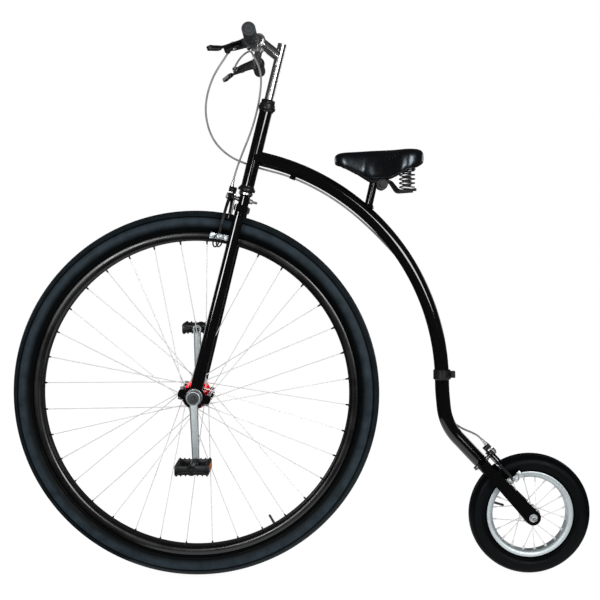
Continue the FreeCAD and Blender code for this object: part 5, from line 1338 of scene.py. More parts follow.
@dataclass
class Cranks:
    """Forged cranks with round edges, and the capped bolts that hold them."""

    length: float = 155.0
    lean: float = math.radians(1.6)
    inner_face: float = 71.0
    thickness: float = 13.0
    boss: float = 17.0
    boss_rise: float = 3.0
    eye: float = 11.5
    eye_bore: float = 7.2
    root: float = 10.5
    tip: float = 8.5
    square: float = 6.4
    recess: Pair = (12.0, 2.2)          # radius and depth of the seat of the bolt's cap

    def build(self, shop: Workshop) -> None:
        """Makes both cranks and their caps.

        Args:
            shop: Takes the finished pieces.
        """
        cranks = Shape()
        caps = Shape()
        for side in Side:
            self.crank(cranks, side)
            self.cap(caps, side)
        shop.put(cranks, "cranks", Finish.ALUMINIUM, "front_wheel", Datum.FRONT_WHEEL, ["cranks"], sharp=45.0)
        shop.put(caps, "crank_bolts", Finish.DARK_STEEL, "front_wheel", Datum.FRONT_WHEEL, ["crank_bolts"])

    def way(self, side: Side) -> Vector:
        """Returns the direction from the axle to a pedal's eye: down on the left and up on the right."""
        return Vector((math.sin(self.lean), 0.0, -math.cos(self.lean))) * -side.value

    def crank(self, shape: Shape, side: Side) -> None:
        """Adds one crank.

        Args:
            shape: What it is added to.
            side: The side of the bicycle that it is on.
        """
        across = side.way()
        middle = across * (self.inner_face + self.thickness / 2)
        tip = middle + self.way(side) * self.length
        shape.strap(middle, self.root, tip, self.tip, across, self.thickness, rounding=3.6, segments=4)
        seat, depth = self.recess
        top = self.thickness + self.boss_rise
        boss = [(self.square, 0.0), (self.square, top - depth), (seat, top - depth), (seat, top), (self.boss, top),
                (self.boss, 0.0)]
        shape.lathe(boss, across * self.inner_face, across, steps=56, rounding=1.3)
        eye = [(self.eye_bore, 0.0), (self.eye_bore, self.thickness), (self.eye, self.thickness), (self.eye, 0.0)]
        foot = across * self.inner_face + self.way(side) * self.length
        shape.lathe(eye, foot, across, steps=48, rounding=1.4)

    def cap(self, shape: Shape, side: Side) -> None:
        """Adds one bolt's cap: a plug in the boss's recess, and over it a dome with a ring and a round socket.

        Args:
            shape: What it is added to.
            side: The side of the bicycle that it is on.
        """
        across = side.way()
        face = self.inner_face + self.thickness + self.boss_rise
        outline = [(0.0, -2.2), (11.6, -2.2), (11.6, 0.2), (14.2, 0.2), (14.2, 1.2), (13.4, 2.0), (7.6, 2.3),
                   (6.8, 1.7), (5.8, 1.7), (5.2, 2.3), (4.2, 2.3), (3.6, 0.6), (0.0, 0.6)]
        shape.lathe(outline, across * face, across, steps=48, closed=False)


@dataclass
class Pedal:
    """A moulded pedal: a stepped barrel, two toothed ends with hollow waists, and treads that hold reflectors."""

    END_TEETH: ClassVar[tuple[float, ...]] = (-36.0, -25.0, -14.0, 14.0, 25.0, 36.0)
    TREAD_TEETH: ClassVar[range] = range(-40, 41, 10)
    RIB: ClassVar[tuple[Pair, ...]] = ((36.5, 9.0), (30.0, 4.5), (19.0, 2.6))     # distance along and height

    side: Side
    width: float = 96.0
    depth: float = 80.0
    height: float = 27.0
    gap: float = 6.0                    # between the crank and the pedal
    rail: float = 9.0
    wall: float = 2.0                   # behind each reflector
    barrel: float = 10.5
    waist: float = 9.6
    hollow: float = 1.6                 # how late an end's height rises from its waist
    tooth_height: float = 2.6
    tooth_reach: Pair = (3.4, 4.6)      # how far a tooth's corners reach on the ends and on the treads
    window: Pair = (30.0, 8.0)          # half the width and height of the opening for a reflector
    reflector: Triple = (2.5, 59.4, 15.4)
    edge: float = 0.9                   # width that the moulding's edges are rounded by

    def build(self, shop: Workshop) -> None:
        """Makes the pedal and its reflectors.

        Args:
            shop: Takes the finished pieces.
        """
        label = self.side.name.lower()
        body = "pedal_" + label
        move = Matrix.Translation(self.centre())
        shape = Shape()
        self.add_barrel(shape)
        for end in (-1, 1):
            self.add_end(shape, end)
            self.add_tread(shape, end)
        shape.turn(move)
        shop.put(shape, body, Finish.PLASTIC, body, Datum.FRONT_WHEEL, [body])
        glass = Shape()
        for end in (-1, 1):
            self.add_reflector(glass, end)
        glass.turn(move)
        name = "pedal_reflectors_" + label
        shop.put(glass, name, Finish.REFLECTOR, body, Datum.FRONT_WHEEL, [name])

    def centre(self) -> Vector:
        """Finds the middle of the pedal.

        Returns:
            The place, from the front axle.
        """
        cranks = Cranks()
        out = cranks.inner_face + cranks.thickness + self.gap + self.width / 2
        return cranks.way(self.side) * cranks.length + self.side.way() * out

    def add_barrel(self, shape: Shape) -> None:
        """Adds the barrel that turns on the spindle, stepped at its ends, and its outer cap.

        Args:
            shape: What it is added to.
        """
        half = self.width / 2
        side = [(self.barrel - 1.2, 5.0), (self.barrel, 7.0), (self.barrel, half - 18.0),
                (self.barrel + 1.6, half - 15.0), (self.barrel + 1.6, half - 1.0), (self.barrel + 0.6, half),
                (5.6, half)]
        line = [(radius, -along) for radius, along in reversed(side)] + side
        shape.lathe(line, steps=40)
        cap = [(0.0, -2.0), (5.7, -2.0), (5.7, 1.2), (5.0, 1.9), (3.0, 2.2), (0.0, 2.2)]
        way = self.side.way()
        shape.lathe(cap, way * (half - 1.0), way, steps=24, closed=False)

    def add_end(self, shape: Shape, end: int) -> None:
        """Adds one end: a plate with hollow edges, teeth along it and a rib that sweeps down to the barrel.

        Args:
            shape: What it is added to.
            end: 1 for the end on the rider's right and -1 for the other.
        """
        low, high = sorted((end * (self.width / 2 - self.rail + 1.0), end * (self.width / 2 - 1.0)))
        half = self.depth / 2 - 1.5
        plate = Shape().block((-half, low, -0.5), (half, high, 0.5)).mesh
        cuts = [edge for edge in plate.edges if abs(edge.verts[0].co.x - edge.verts[1].co.x) > 1.0]
        bmesh.ops.subdivide_edges(plate, edges=cuts, cuts=15, use_grid_fill=True)
        for corner in plate.verts:
            corner.co.z *= 2 * self.end_height(corner.co.x, half)
            corner.co.x *= 1.0 - 0.05 * (1.0 - abs(corner.co.z) / self.body_top())
        soften(plate, 1.0, angle=50.0)
        shape.add(plate)
        face = end * (self.width / 2 - 0.8)
        for sign in (-1, 1):
            for along in self.END_TEETH:
                foot = (along, (low + high) / 2, sign * self.end_height(along, half))
                self.add_tooth(shape, foot, sign, self.tooth_reach[0])
            rear = [(along, face, sign * height) for along, height in self.RIB]
            shape.bend([[(-along, across, height) for along, across, height in rear] + rear[::-1]], 1.5)

    def body_top(self) -> float:
        """Returns how high the moulding stands over the spindle, without its teeth."""
        return self.height / 2 - self.tooth_height

    def end_height(self, along: float, half: float) -> float:
        """Returns half the height of an end plate at a distance from the spindle, given half its length."""
        return self.waist + (self.body_top() - self.waist) * abs(along / half)**self.hollow

    def add_tooth(self, shape: Shape, foot: Triple, sign: int, radius: float) -> None:
        """Adds one square tooth that stands on a tread.

        Args:
            shape: What it is added to.
            foot: Where it stands.
            sign: 1 where it points up and -1 where it points down.
            radius: How far its corners reach.
        """
        tooth = bmesh.new()
        bmesh.ops.create_cone(tooth, cap_ends=True, segments=4, radius1=radius, radius2=radius * 0.45,
                              depth=self.tooth_height + 1.0, matrix=Matrix.Rotation(math.pi / 4, 4, "Z"))
        shape.add(tooth, aimed(Vector(foot) + UP * (sign * self.tooth_height / 2), UP * sign))

    def add_tread(self, shape: Shape, end: int) -> None:
        """Adds the front or rear tread: a frame round the reflector, with teeth above and below.

        Args:
            shape: What it is added to.
            end: 1 for the rear tread and -1 for the front one.
        """
        low, high = sorted((end * (self.depth / 2 - self.rail), end * self.depth / 2))
        half = self.width / 2 - 2.0
        wide, tall = self.window
        for sign in (-1, 1):
            z_low, z_high = sorted((sign * tall, sign * self.body_top()))
            shape.block((low, -half, z_low), (high, half, z_high), self.edge)
            y_low, y_high = sorted((sign * wide, sign * half))
            shape.block((low, y_low, -tall - 0.5), (high, y_high, tall + 0.5), self.edge)
            for across in self.TREAD_TEETH:
                self.add_tooth(shape, ((low + high) / 2, across, sign * self.body_top()), sign, self.tooth_reach[1])
        inner = self.depth / 2 - self.rail
        low, high = sorted((end * inner, end * (inner + self.wall)))
        shape.block((low, -wide - 1.0, -tall - 0.5), (high, wide + 1.0, tall + 0.5))

    def add_reflector(self, shape: Shape, end: int) -> None:
        """Adds one reflector with a raised rim round its prisms.

        Args:
            shape: What it is added to.
            end: 1 for the rear one and -1 for the front one.
        """
        thick, wide, tall = self.reflector
        low, high = sorted((end * (self.depth / 2 - thick), end * self.depth / 2))
        piece = Shape().block((low, -wide / 2, -tall / 2), (high, wide / 2, tall / 2), 0.5).mesh
        faces = [face for face in piece.faces if face.normal.x * end > 0.9 and face.calc_area() > 100.0]
        bmesh.ops.inset_region(piece, faces=faces, thickness=1.2, depth=-0.5)
        shape.add(piece)


# ---- Steering

@dataclass
class Headset:
    """Turned cups pressed into the head tube, with the notched race and the locknut above them."""

    cup: float = 21.5
    cup_height: float = 13.0
    neck: float = 17.4
    bore: float = 12.9
    gap: float = 0.3                    # between the upper cup and the race
    race_radii: Pair = (19.4, 19.0)
    race_height: float = 6.0
    notches: int = 24
    flats: float = 33.0
    nut_height: float = 9.0

    def build(self, shop: Workshop) -> None:
        """Makes the cups and the locknut.

        Args:
            shop: Takes the finished pieces.
        """
        cups = Shape()
        for base, way in ((HEAD_TUBE_BOTTOM, -UP), (HEAD_TUBE_TOP, UP)):
            cups.lathe(self.cup_outline(), UP * base, way, steps=64)
        shop.put(cups, "headset_cups", Finish.BLACK_METAL, "frame", Datum.STEERING, ["headset_cups"], sharp=40.0)
        base = HEAD_TUBE_TOP + self.cup_height + self.gap
        seat = base + self.race_height
        nut = Shape().knurled(UP * (base + self.race_height / 2), UP, self.race_radii, self.race_height,
                              self.notches, notch=(0.25, 0.9))
        nut.hexagon(UP * seat, UP, self.flats, self.nut_height, chamfer=1.2)
        collar = [(self.bore, 0.0), (self.bore, 1.6), (15.6, 1.6), (16.6, 0.0)]
        nut.lathe(collar, UP * (seat + self.nut_height), UP)
        shop.put(nut, "headset_locknut", Finish.BLACK_METAL, "steering", Datum.STEERING, ["headset_locknut"])

    def cup_outline(self) -> list[Pair]:
        """Draws a cup's section from its skirt to its lip.

        Returns:
            The radius and the height of each corner.
        """
        cup, top = self.cup, self.cup_height
        return [
            (self.bore, -10.0), (14.0, -10.0), (14.0, 0.0), (self.neck, 0.0), (self.neck, 1.6), (self.neck + 0.6, 3.0),
            (cup - 2.0, 5.4), (cup - 0.4, 6.2), (cup, 7.2), (cup, 9.4), (cup - 0.6, 9.8), (cup - 0.6, 10.4),
            (cup, 10.8), (cup, top - 1.0), (cup - 1.0, top), (self.bore, top),
        ]


@dataclass
class Grips:
    """Ribbed rubber grips with a flange inboard and a plug in their ends."""

    end: float = 297.5
    length: float = 125.0
    radius: float = 15.5
    bore: float = 11.2
    rib_pitch: float = 4.4
    drop: float = 29.0                  # below the bar's clamp
    forward: float = 4.0                # and in front of it

    def build(self, shop: Workshop) -> None:
        """Makes both grips.

        Args:
            shop: Takes the finished pieces.
        """
        shape = Shape()
        for side in Side:
            start = (-BAR_REACH - self.forward, side.value * (self.end - self.length), BAR_HEIGHT - self.drop)
            shape.lathe(self.outline(), start, side.way())
        shop.put(shape, "grips", Finish.RUBBER, "steering", Datum.STEERING, ["grips"], sharp=40.0)

    def outline(self) -> list[Pair]:
        """Draws the section from the flange over the ribs to the end plug.

        Returns:
            The radius and the distance out of each corner.
        """
        line = [(self.bore, 0.0), (17.4, 0.0), (18.0, 0.8), (18.0, 3.2), (17.4, 4.0), (14.4, 4.6)]
        count = int((self.length - 14.0) / self.rib_pitch)
        for index in range(count):
            start = 6.0 + index * self.rib_pitch
            line += [(14.3, start), (self.radius, start + 0.7), (self.radius, start + 2.7), (14.3, start + 3.4)]
        line += [(15.4, self.length - 6.0), (15.5, self.length + 1.6), (14.7, self.length + 2.8),
                 (11.4, self.length + 3.0), (10.9, self.length + 2.2), (9.8, self.length + 2.2),
                 (9.2, self.length + 2.9), (3.0, self.length + 3.0), (2.4, self.length + 1.8),
                 (0.0, self.length + 1.8), (0.0, self.length - 4.0), (self.bore, self.length - 4.0)]
        return line


@dataclass
class LeverFittings:
    """The bright adjuster, lock wheel, pivot screw and clamp screw of each brake lever."""

    across: float = 157.0               # from the middle of the bar to each lever
    pitch: float = math.radians(33.0)
    barrel_reach: float = 60.0
    barrel_end: float = 34.0
    barrel: float = 12.0
    wheel: float = 6.3
    pivot: Triple = (-44.0, -13.0, 7.0)
    clamp_screw: Triple = (-12.0, -10.0, -13.0)

    def build(self, shop: Workshop) -> None:
        """Makes both sets.

        Args:
            shop: Takes the finished pieces.
        """
        shape = Shape()
        for side in Side:
            fittings = Shape()
            self.adjuster(fittings)
            self.screws(fittings)
            fittings.turn(self.matrix(side))
            shape.add(fittings.mesh)
        shop.put(shape, "lever_fittings", Finish.STEEL, "steering", Datum.STEERING)

    def matrix(self, side: Side) -> Matrix:
        """Places a lever, whose own frame has the bar along Y.

        Args:
            side: The side of the bicycle that it is on.

        Returns:
            The matrix to the steering frame.
        """
        grips = Grips()
        place = Vector((-BAR_REACH - grips.forward, side.value * self.across, BAR_HEIGHT - grips.drop))
        mirror = Matrix.Diagonal((1.0, -side.value, 1.0, 1.0))
        return Matrix.Translation(place) @ Matrix.Rotation(-self.pitch, 4, "Y") @ mirror

    def adjuster(self, shape: Shape) -> None:
        """Adds the barrel that the cable comes out of, and its knurled lock wheel.

        Args:
            shape: What it is added to.
        """
        outline = [(2.7, 0.0), (4.6, 0.0), (4.6, 3.0), (3.6, 3.4), (3.6, 6.0), (5.2, 6.4), (5.2, self.barrel - 0.6),
                   (4.6, self.barrel), (2.7, self.barrel)]
        shape.lathe(outline, (-self.barrel_reach, self.barrel_end - self.barrel, 0.0), steps=24)
        middle = (-self.barrel_reach, self.barrel_end - 7.0, 0.0)
        shape.knurled(middle, Side.RIGHT.way(), (self.wheel, self.wheel), 3.4, notches=16, notch=(0.12, 0.6))

    def screws(self, shape: Shape) -> None:
        """Adds the pivot's domed heads and the clamp's socket screw.

        Args:
            shape: What it is added to.
        """
        dome = [(0.0, 0.0), (5.2, 0.0), (5.2, 0.9), (4.2, 2.0), (2.4, 2.4), (2.2, 1.4), (0.0, 1.4)]
        along, across, rise = self.pivot
        for way in (-1.0, 1.0):
            shape.lathe(dome, (along, across, way * rise), UP * way, steps=24, closed=False)
        socket = [(0.0, 0.0), (3.6, 0.0), (3.6, 3.0), (3.0, 3.4), (1.9, 3.4), (1.9, 1.6), (0.0, 1.6)]
        shape.lathe(socket, self.clamp_screw, Side.LEFT.way(), steps=20, closed=False)


# ---- Cables

FRONT_ROUTE = [                     # in the steering frame
    (-111.3, 123, 816.3), (-111.3, 110, 816.3), (-103, 94, 838), (-90, 80, 855), (-77, 62, 860), (-70, 45, 852),
    (-58, 32, 838), (-43, 26, 820), (-30, 21, 790), (-24, 19.8, 745), (-22.9, 20, 700), (-26, 23, 655),
    (-34, 30, 605), (-40.1, 37.5, 558), (-40.1, 37.5, 528),
]
REAR_ROUND_HEAD = [                 # in the steering frame
    (-111.3, -123, 816.3), (-111.3, -114, 816.3), (-117, -110.5, 801), (-125, -107.5, 781), (-133, -102, 757),
    (-138, -92, 730), (-139.7, -78, 703), (-137, -63, 678), (-130, -48, 655), (-118, -33, 632), (-100, -17, 611),
    (-78, -2, 597), (-55, 10, 588), (-30, 20, 583.5), (0, 24.5, 581), (30, 14, 579),
]
REAR_UNDER_CURVE = [                # angle round the curve's centre, distance outside its line, and across
    (70, -20.6, 7), (63.5, -20.8, 5), (57, -20.8, 4), (50.5, -20.8, 5), (44, -20, 8), (37.5, -16, 13.5),
    (31, -9, 19), (24.5, 0, 21), (18, 0, 21.3), (11.5, 0, 22), (5, 0, 24.6),
]
REAR_PAST_COLLAR = [(608.9, 24.6, 478), (611, 22.5, 440), (615.5, 20.6, 405)]
REAR_TO_BRAKE = [                   # in the rear fork's frame
    (12, 21.3, 297), (20, 13.5, 280), (24, 1.5, 266), (33, -16, 251), (39, -31, 239), (40.1, -36, 228),
    (40.1, -36, 215),
]


@dataclass
class Cables:
    """Both brake cables, smooth from end to end, with their ferrules."""

    radius: float = 2.5
    split_radius: float = 34.0          # how near the steering axis the loop ends
    loop_top: float = 800.0             # a height on that axis, worked into a point which nothing uses
    loop_foot: float = 590.0            # and a lower one, worked into a point which nothing uses either
    lever_exit: Triple = (-111.3, 123.5, 816.3)
    front_seat: Triple = (-40.1, 37.5, 528.2)
    rear_seat: Triple = (40.1, -36.0, 215.2)

    def build(self, shop: Workshop) -> None:
        """Makes the front cable, the rear one's loop and its stretch on the frame, and what sits on them.

        Args:
            shop: Takes the finished pieces.
        """
        front = Shape().bend([FRONT_ROUTE], self.radius, sides=3)
        shop.put(front, "front_brake_cable", Finish.CABLE, "steering", Datum.STEERING, ["front_brake_cable"])
        line = self.rear_line()
        cut = self.crossing(line)
        loop = Shape().bend([line[:cut + 1]], self.radius, order=2, fineness=1, sides=3)
        piece = shop.put(loop, "rear_cable_loop", Finish.CABLE, None, replaces=["rear_cable_loop"])
        above = to_object() @ Datum.STEERING.matrix() @ (UP * self.loop_top)
        below = to_object() @ Datum.STEERING.matrix() @ (UP * self.loop_foot)
        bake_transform(piece)
        held = Shape().bend([line[cut:]], self.radius, order=2, fineness=1, sides=3)
        shop.put(held, "rear_brake_cable", Finish.CABLE, "frame", replaces=["rear_brake_cable"])
        self.ferrules(shop)

    def rear_line(self) -> list[Vector]:
        """Follows the rear cable's smooth line.

        Returns:
            Points along it, in the bicycle's millimetres.
        """
        steering = Datum.STEERING.matrix()
        fork = Datum.REAR_FORK.matrix()
        route = [steering @ Vector(point) for point in REAR_ROUND_HEAD]
        route += [curve_place(*point) for point in REAR_UNDER_CURVE]
        route += [Vector(point) for point in REAR_PAST_COLLAR]
        route += [fork @ Vector(point) for point in REAR_TO_BRAKE]
        mesh = spline_mesh([route], 0.0, fineness=10)
        line = [corner.co.copy() for corner in mesh.vertices]
        bpy.data.meshes.remove(mesh)
        return line

    def crossing(self, line: Sequence[Vector]) -> int:
        """Finds where the rear cable comes within the split radius of the steering axis.

        Args:
            line: Points along the cable.

        Returns:
            The index of the first point that is so near.
        """
        to_steering = Datum.STEERING.matrix().inverted()
        for index, point in enumerate(line):
            place = to_steering @ point
            if math.hypot(place.x, place.y) < self.split_radius:
                return index
        return len(line) // 2

    def ferrules(self, shop: Workshop) -> None:
        """Adds the bright ferrules at the levers and brakes.

        Args:
            shop: Takes the finished pieces.
        """
        cap = [(2.6, 0.0), (3.3, 0.0), (3.3, 9.0), (2.9, 9.6), (2.6, 9.6)]
        steering = Shape()
        along, across, height = self.lever_exit
        for side in Side:
            steering.lathe(cap, (along, side.value * across, height), -side.way(), steps=20)
        steering.lathe(cap, self.front_seat, UP, steps=20)
        shop.put(steering, "steering_ferrules", Finish.STEEL, "steering", Datum.STEERING)
        rear = Shape().lathe(cap, self.rear_seat, UP, steps=20)
        shop.put(rear, "rear_ferrule", Finish.STEEL, "frame", Datum.REAR_FORK)


# ---- Brakes and axle

@dataclass
class PadHardware:
    """What shows outside a brake's pads: a clip at each end, the stud's domed nut and a wire loop."""

    LOOP: ClassVar[tuple[Pair, ...]] = ((-7.0, 3.0), (-10.5, -4.0), (-11.0, -20.0), (-4.0, -28.5), (3.0, -20.0),
                                        (2.5, -4.0), (0.5, 3.0))

    name: str
    datum: Datum
    body: str
    eye: Vector                     # of the right pad
    length: float
    loop: bool
    nut_seat: float = 6.2           # this and the next two are distances across from the eye
    loop_reach: float = 11.0
    clip_inset: float = 5.6
    clip: Triple = (5.4, 2.6, 6.6)  # half of its size
    wire: float = 2.0

    def build(self, shop: Workshop) -> None:
        """Makes both sides.

        Args:
            shop: Takes the finished pieces.
        """
        bright = Shape()
        dark = Shape()
        for side in Side:
            at = Vector((self.eye.x, side.value * self.eye.y, self.eye.z))
            self.add_nut(bright, at, side)
            if self.loop:
                self.add_loop(dark, at, side)
        shop.put(bright, self.name, Finish.BRIGHT_NUT, self.body, self.datum)
        if self.loop:
            shop.put(dark, self.name + "_loops", Finish.BLACK_METAL, self.body, self.datum)

    def add_nut(self, shape: Shape, at: Vector, side: Side) -> None:
        """Adds the dished washer and domed nut on the stud, and a clip at each end of the holder.

        Args:
            shape: What it is added to.
            at: The eye of the pad.
            side: The side of the bicycle that it is on.
        """
        dome = [(2.9, 0.0), (8.0, 0.0), (8.0, 1.2), (6.6, 2.0), (6.0, 2.2), (6.0, 6.4), (5.0, 7.8), (2.9, 8.2)]
        shape.lathe(dome, at + side.way() * self.nut_seat, side.way(), steps=28)
        half = Vector(self.clip)
        for end in (-1, 1):
            along = at.x + end * (self.length / 2 - 5.0)
            middle = Vector((along, at.y - side.value * self.clip_inset, at.z))
            shape.block(middle - half, middle + half, 1.2)

    def add_loop(self, shape: Shape, at: Vector, side: Side) -> None:
        """Adds the wire loop that hangs from the stud.

        Args:
            shape: What it is added to.
            at: The eye of the pad.
            side: The side of the bicycle that it is on.
        """
        face = at.y + side.value * self.loop_reach
        shape.bend([[(at.x + along, face, at.z + up) for along, up in self.LOOP]], self.wire)


@dataclass
class BrakeSprings:
    """The wire spring of a caliper: one leg down each arm from the block at its bolt."""

    name: str
    datum: Datum
    body: str
    outward: int
    bolt_height: float
    foot: Pair                      # distance across and height where each leg rests on its arm
    reach: float = 24.5             # from the middle of the blades to the spring
    wire: float = 1.1

    def build(self, shop: Workshop) -> None:
        """Makes the spring and its block.

        Args:
            shop: Takes the finished pieces.
        """
        shape = Shape()
        out = self.outward * self.reach
        wide, low = self.foot
        leg = [(wide, low), (wide + 3.0, low + 12.0), (13.0, self.bolt_height + 2.0), (6.0, self.bolt_height + 9.0)]
        line = [(out, -across, height) for across, height in leg]
        line += [(out, across, height) for across, height in reversed(leg)]
        shape.bend([line], self.wire)
        shape.block((out - 2.6, -8.0, self.bolt_height + 3.4), (out + 2.6, 8.0, self.bolt_height + 10.0), 0.8)
        shop.put(shape, self.name, Finish.STEEL, self.body, self.datum)


@dataclass
class RearAxleNuts:
    """Chamfered nuts on washers over the ends of the rear axle."""

    plate: float = 55.0
    bore: float = 5.05
    washer: float = 1.5
    flats: float = 15.0
    height: float = 7.6

    def build(self, shop: Workshop) -> None:
        """Makes the parts outside each dropout and the cones inside, on both sides.

        Args:
            shop: Takes the finished pieces.
        """
        shape = Shape().take("rear_axle_nuts", Datum.REAR_WHEEL)
        self.keep_cones(shape)
        washer = [(self.bore, 0.0), (10.0, 0.0), (10.0, 1.0), (9.4, self.washer), (self.bore, self.washer)]
        top = self.height
        end = [(5.0, top - 0.1), (6.6, top - 0.1), (6.2, top + 1.3), (5.0, top + 1.3)]
        for side in Side:
            way = side.way()
            shape.lathe(washer, way * self.plate, way)
            nut = Shape().hexagon((0.0, 0.0, 0.0), UP, self.flats, self.height, chamfer=0.9)
            nut.lathe(end, way=UP, steps=32)
            shape.add(nut.mesh, aimed(way * (self.plate + self.washer), way))
        shop.put(shape, "rear_axle_nuts", Finish.BRIGHT_NUT, "frame", Datum.REAR_WHEEL, ["rear_axle_nuts"])

    def keep_cones(self, shape: Shape) -> None:
        """Drops what lies outside the dropouts."""
        outer = [corner for corner in shape.mesh.verts if abs(corner.co.y) > self.plate - 0.2]
        bmesh.ops.delete(shape.mesh, geom=outer, context="VERTS")


# ---- Seat

@dataclass
class SaddleCover:
    """The padded saddle: its cover swells under pressure from a slightly smaller shell."""

    voxel: float = 0.0045               # this and the cap are in metres
    pressure: float = 4.0
    steps: int = 20
    cap: float = 0.004                  # the most that a point moves
    shrink: Triple = (0.988, 0.972, 0.98)
    smoothings: int = 12

    def build(self, shop: Workshop) -> None:
        """Makes the saddle.

        Args:
            shop: Takes the finished pieces.
        """
        shape = Shape().take("saddle")
        low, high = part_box("saddle")
        middle = to_object().inverted() @ ((low + high) / 2)
        smaller = Matrix.Diagonal((*self.shrink, 1.0))
        shape.turn(Matrix.Translation(middle) @ smaller @ Matrix.Translation(-middle))
        piece = shop.put(shape, "saddle", Finish.SADDLE_COVER, None, replaces=["saddle"], sharp=180.0)
        self.remesh(piece)
        self.swell(piece)
        self.smooth(piece)
        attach(piece, "frame")

    def bake(self, piece: bpy.types.Object) -> None:
        """Applies what the piece's modifiers make of it, and removes them.

        Args:
            piece: The cover.
        """
        held = piece.evaluated_get(bpy.context.evaluated_depsgraph_get())
        mesh = bpy.data.meshes.new_from_object(held)
        piece.modifiers.clear()
        old = piece.data
        piece.data = mesh
        bpy.data.meshes.remove(old)
        mesh.name = piece.name

    def remesh(self, piece: bpy.types.Object) -> None:
        """Gives the shell even faces.

        Args:
            piece: The cover.
        """
        grid = piece.modifiers.new("grid", "REMESH")
        grid.mode = "VOXEL"
        grid.voxel_size = self.voxel
        self.bake(piece)

    def swell(self, piece: bpy.types.Object) -> None:
        """Blows the shell up like cloth, with no point moving further than the cap.

        Args:
            piece: The cover.
        """
        scene = bpy.context.scene
        rest = [corner.co.copy() for corner in piece.data.vertices]
        cloth = piece.modifiers.new("cloth", "CLOTH")
        cloth.settings.use_pressure = True
        cloth.settings.uniform_pressure_force = self.pressure
        cloth.settings.effector_weights.gravity = 0.0
        cloth.point_cache.frame_start = 1
        cloth.point_cache.frame_end = self.steps
        for step in range(1, self.steps + 1):
            scene.frame_set(step)
        self.bake(piece)
        for corner, place in zip(piece.data.vertices, rest):
            move = corner.co - place
            if move.length > self.cap:
                corner.co = place + move * (self.cap / move.length)
        scene.frame_set(1)

    def smooth(self, piece: bpy.types.Object) -> None:
        """Evens out the voxels' steps and divides the faces once.

        Args:
            piece: The cover.
        """
        shape = bmesh.new()
        shape.from_mesh(piece.data)
        for _ in range(self.smoothings):
            bmesh.ops.smooth_vert(shape, verts=shape.verts, factor=0.5, use_axis_x=True, use_axis_y=True,
                                  use_axis_z=True)
        shape.to_mesh(piece.data)
        shape.free()
        finer = piece.modifiers.new("finer", "SUBSURF")
        finer.levels = finer.render_levels = 1
        self.bake(piece)
        piece.data.shade_smooth()


@dataclass
class SaddleSprings:
    """The two barrel-shaped coil springs under the saddle."""

    at: Pair = (523.0, 46.0)
    bottom: float = 956.0
    top: float = 1000.0
    radius: float = 14.5
    wire: float = 1.7
    gap: float = 0.2                    # between the coil's ends and what they press on
    bulge: float = 0.07                 # how much narrower the ends are than the middle
    turns: int = 4
    steps: int = 28

    def build(self, shop: Workshop) -> None:
        """Makes both springs.

        Args:
            shop: Takes the finished pieces.
        """
        shape = Shape()
        length = self.top - self.bottom - 2 * (self.wire + self.gap)
        for side in Side:
            coil = bmesh.new()
            section = bmesh.ops.create_circle(coil, cap_ends=True, radius=self.wire, segments=12,
                                              matrix=Matrix.Translation((self.radius, 0.0, 0.0))
                                              @ Matrix.Rotation(math.pi / 2, 4, "X"))
            count = self.turns * self.steps
            bmesh.ops.spin(coil, geom=section["verts"] + coil.edges[:] + coil.faces[:], cent=(0.0, 0.0, 0.0),
                           axis=(0.0, 0.0, 1.0), dvec=(0.0, 0.0, length / count), angle=math.tau * self.turns,
                           steps=count)
            for corner in coil.verts:
                share = corner.co.z / length
                waist = 1.0 - self.bulge * (2 * share - 1)**2
                corner.co.x *= waist
                corner.co.y *= waist
            bmesh.ops.recalc_face_normals(coil, faces=coil.faces)
            along, across = self.at
            shape.add(coil, Matrix.Translation((along, side.value * across, self.bottom + self.wire + self.gap)))
        shop.put(shape, "saddle_springs", Finish.DARK_STEEL, "frame", replaces=["saddle_springs"], sharp=60.0)


# ---- The whole bicycle

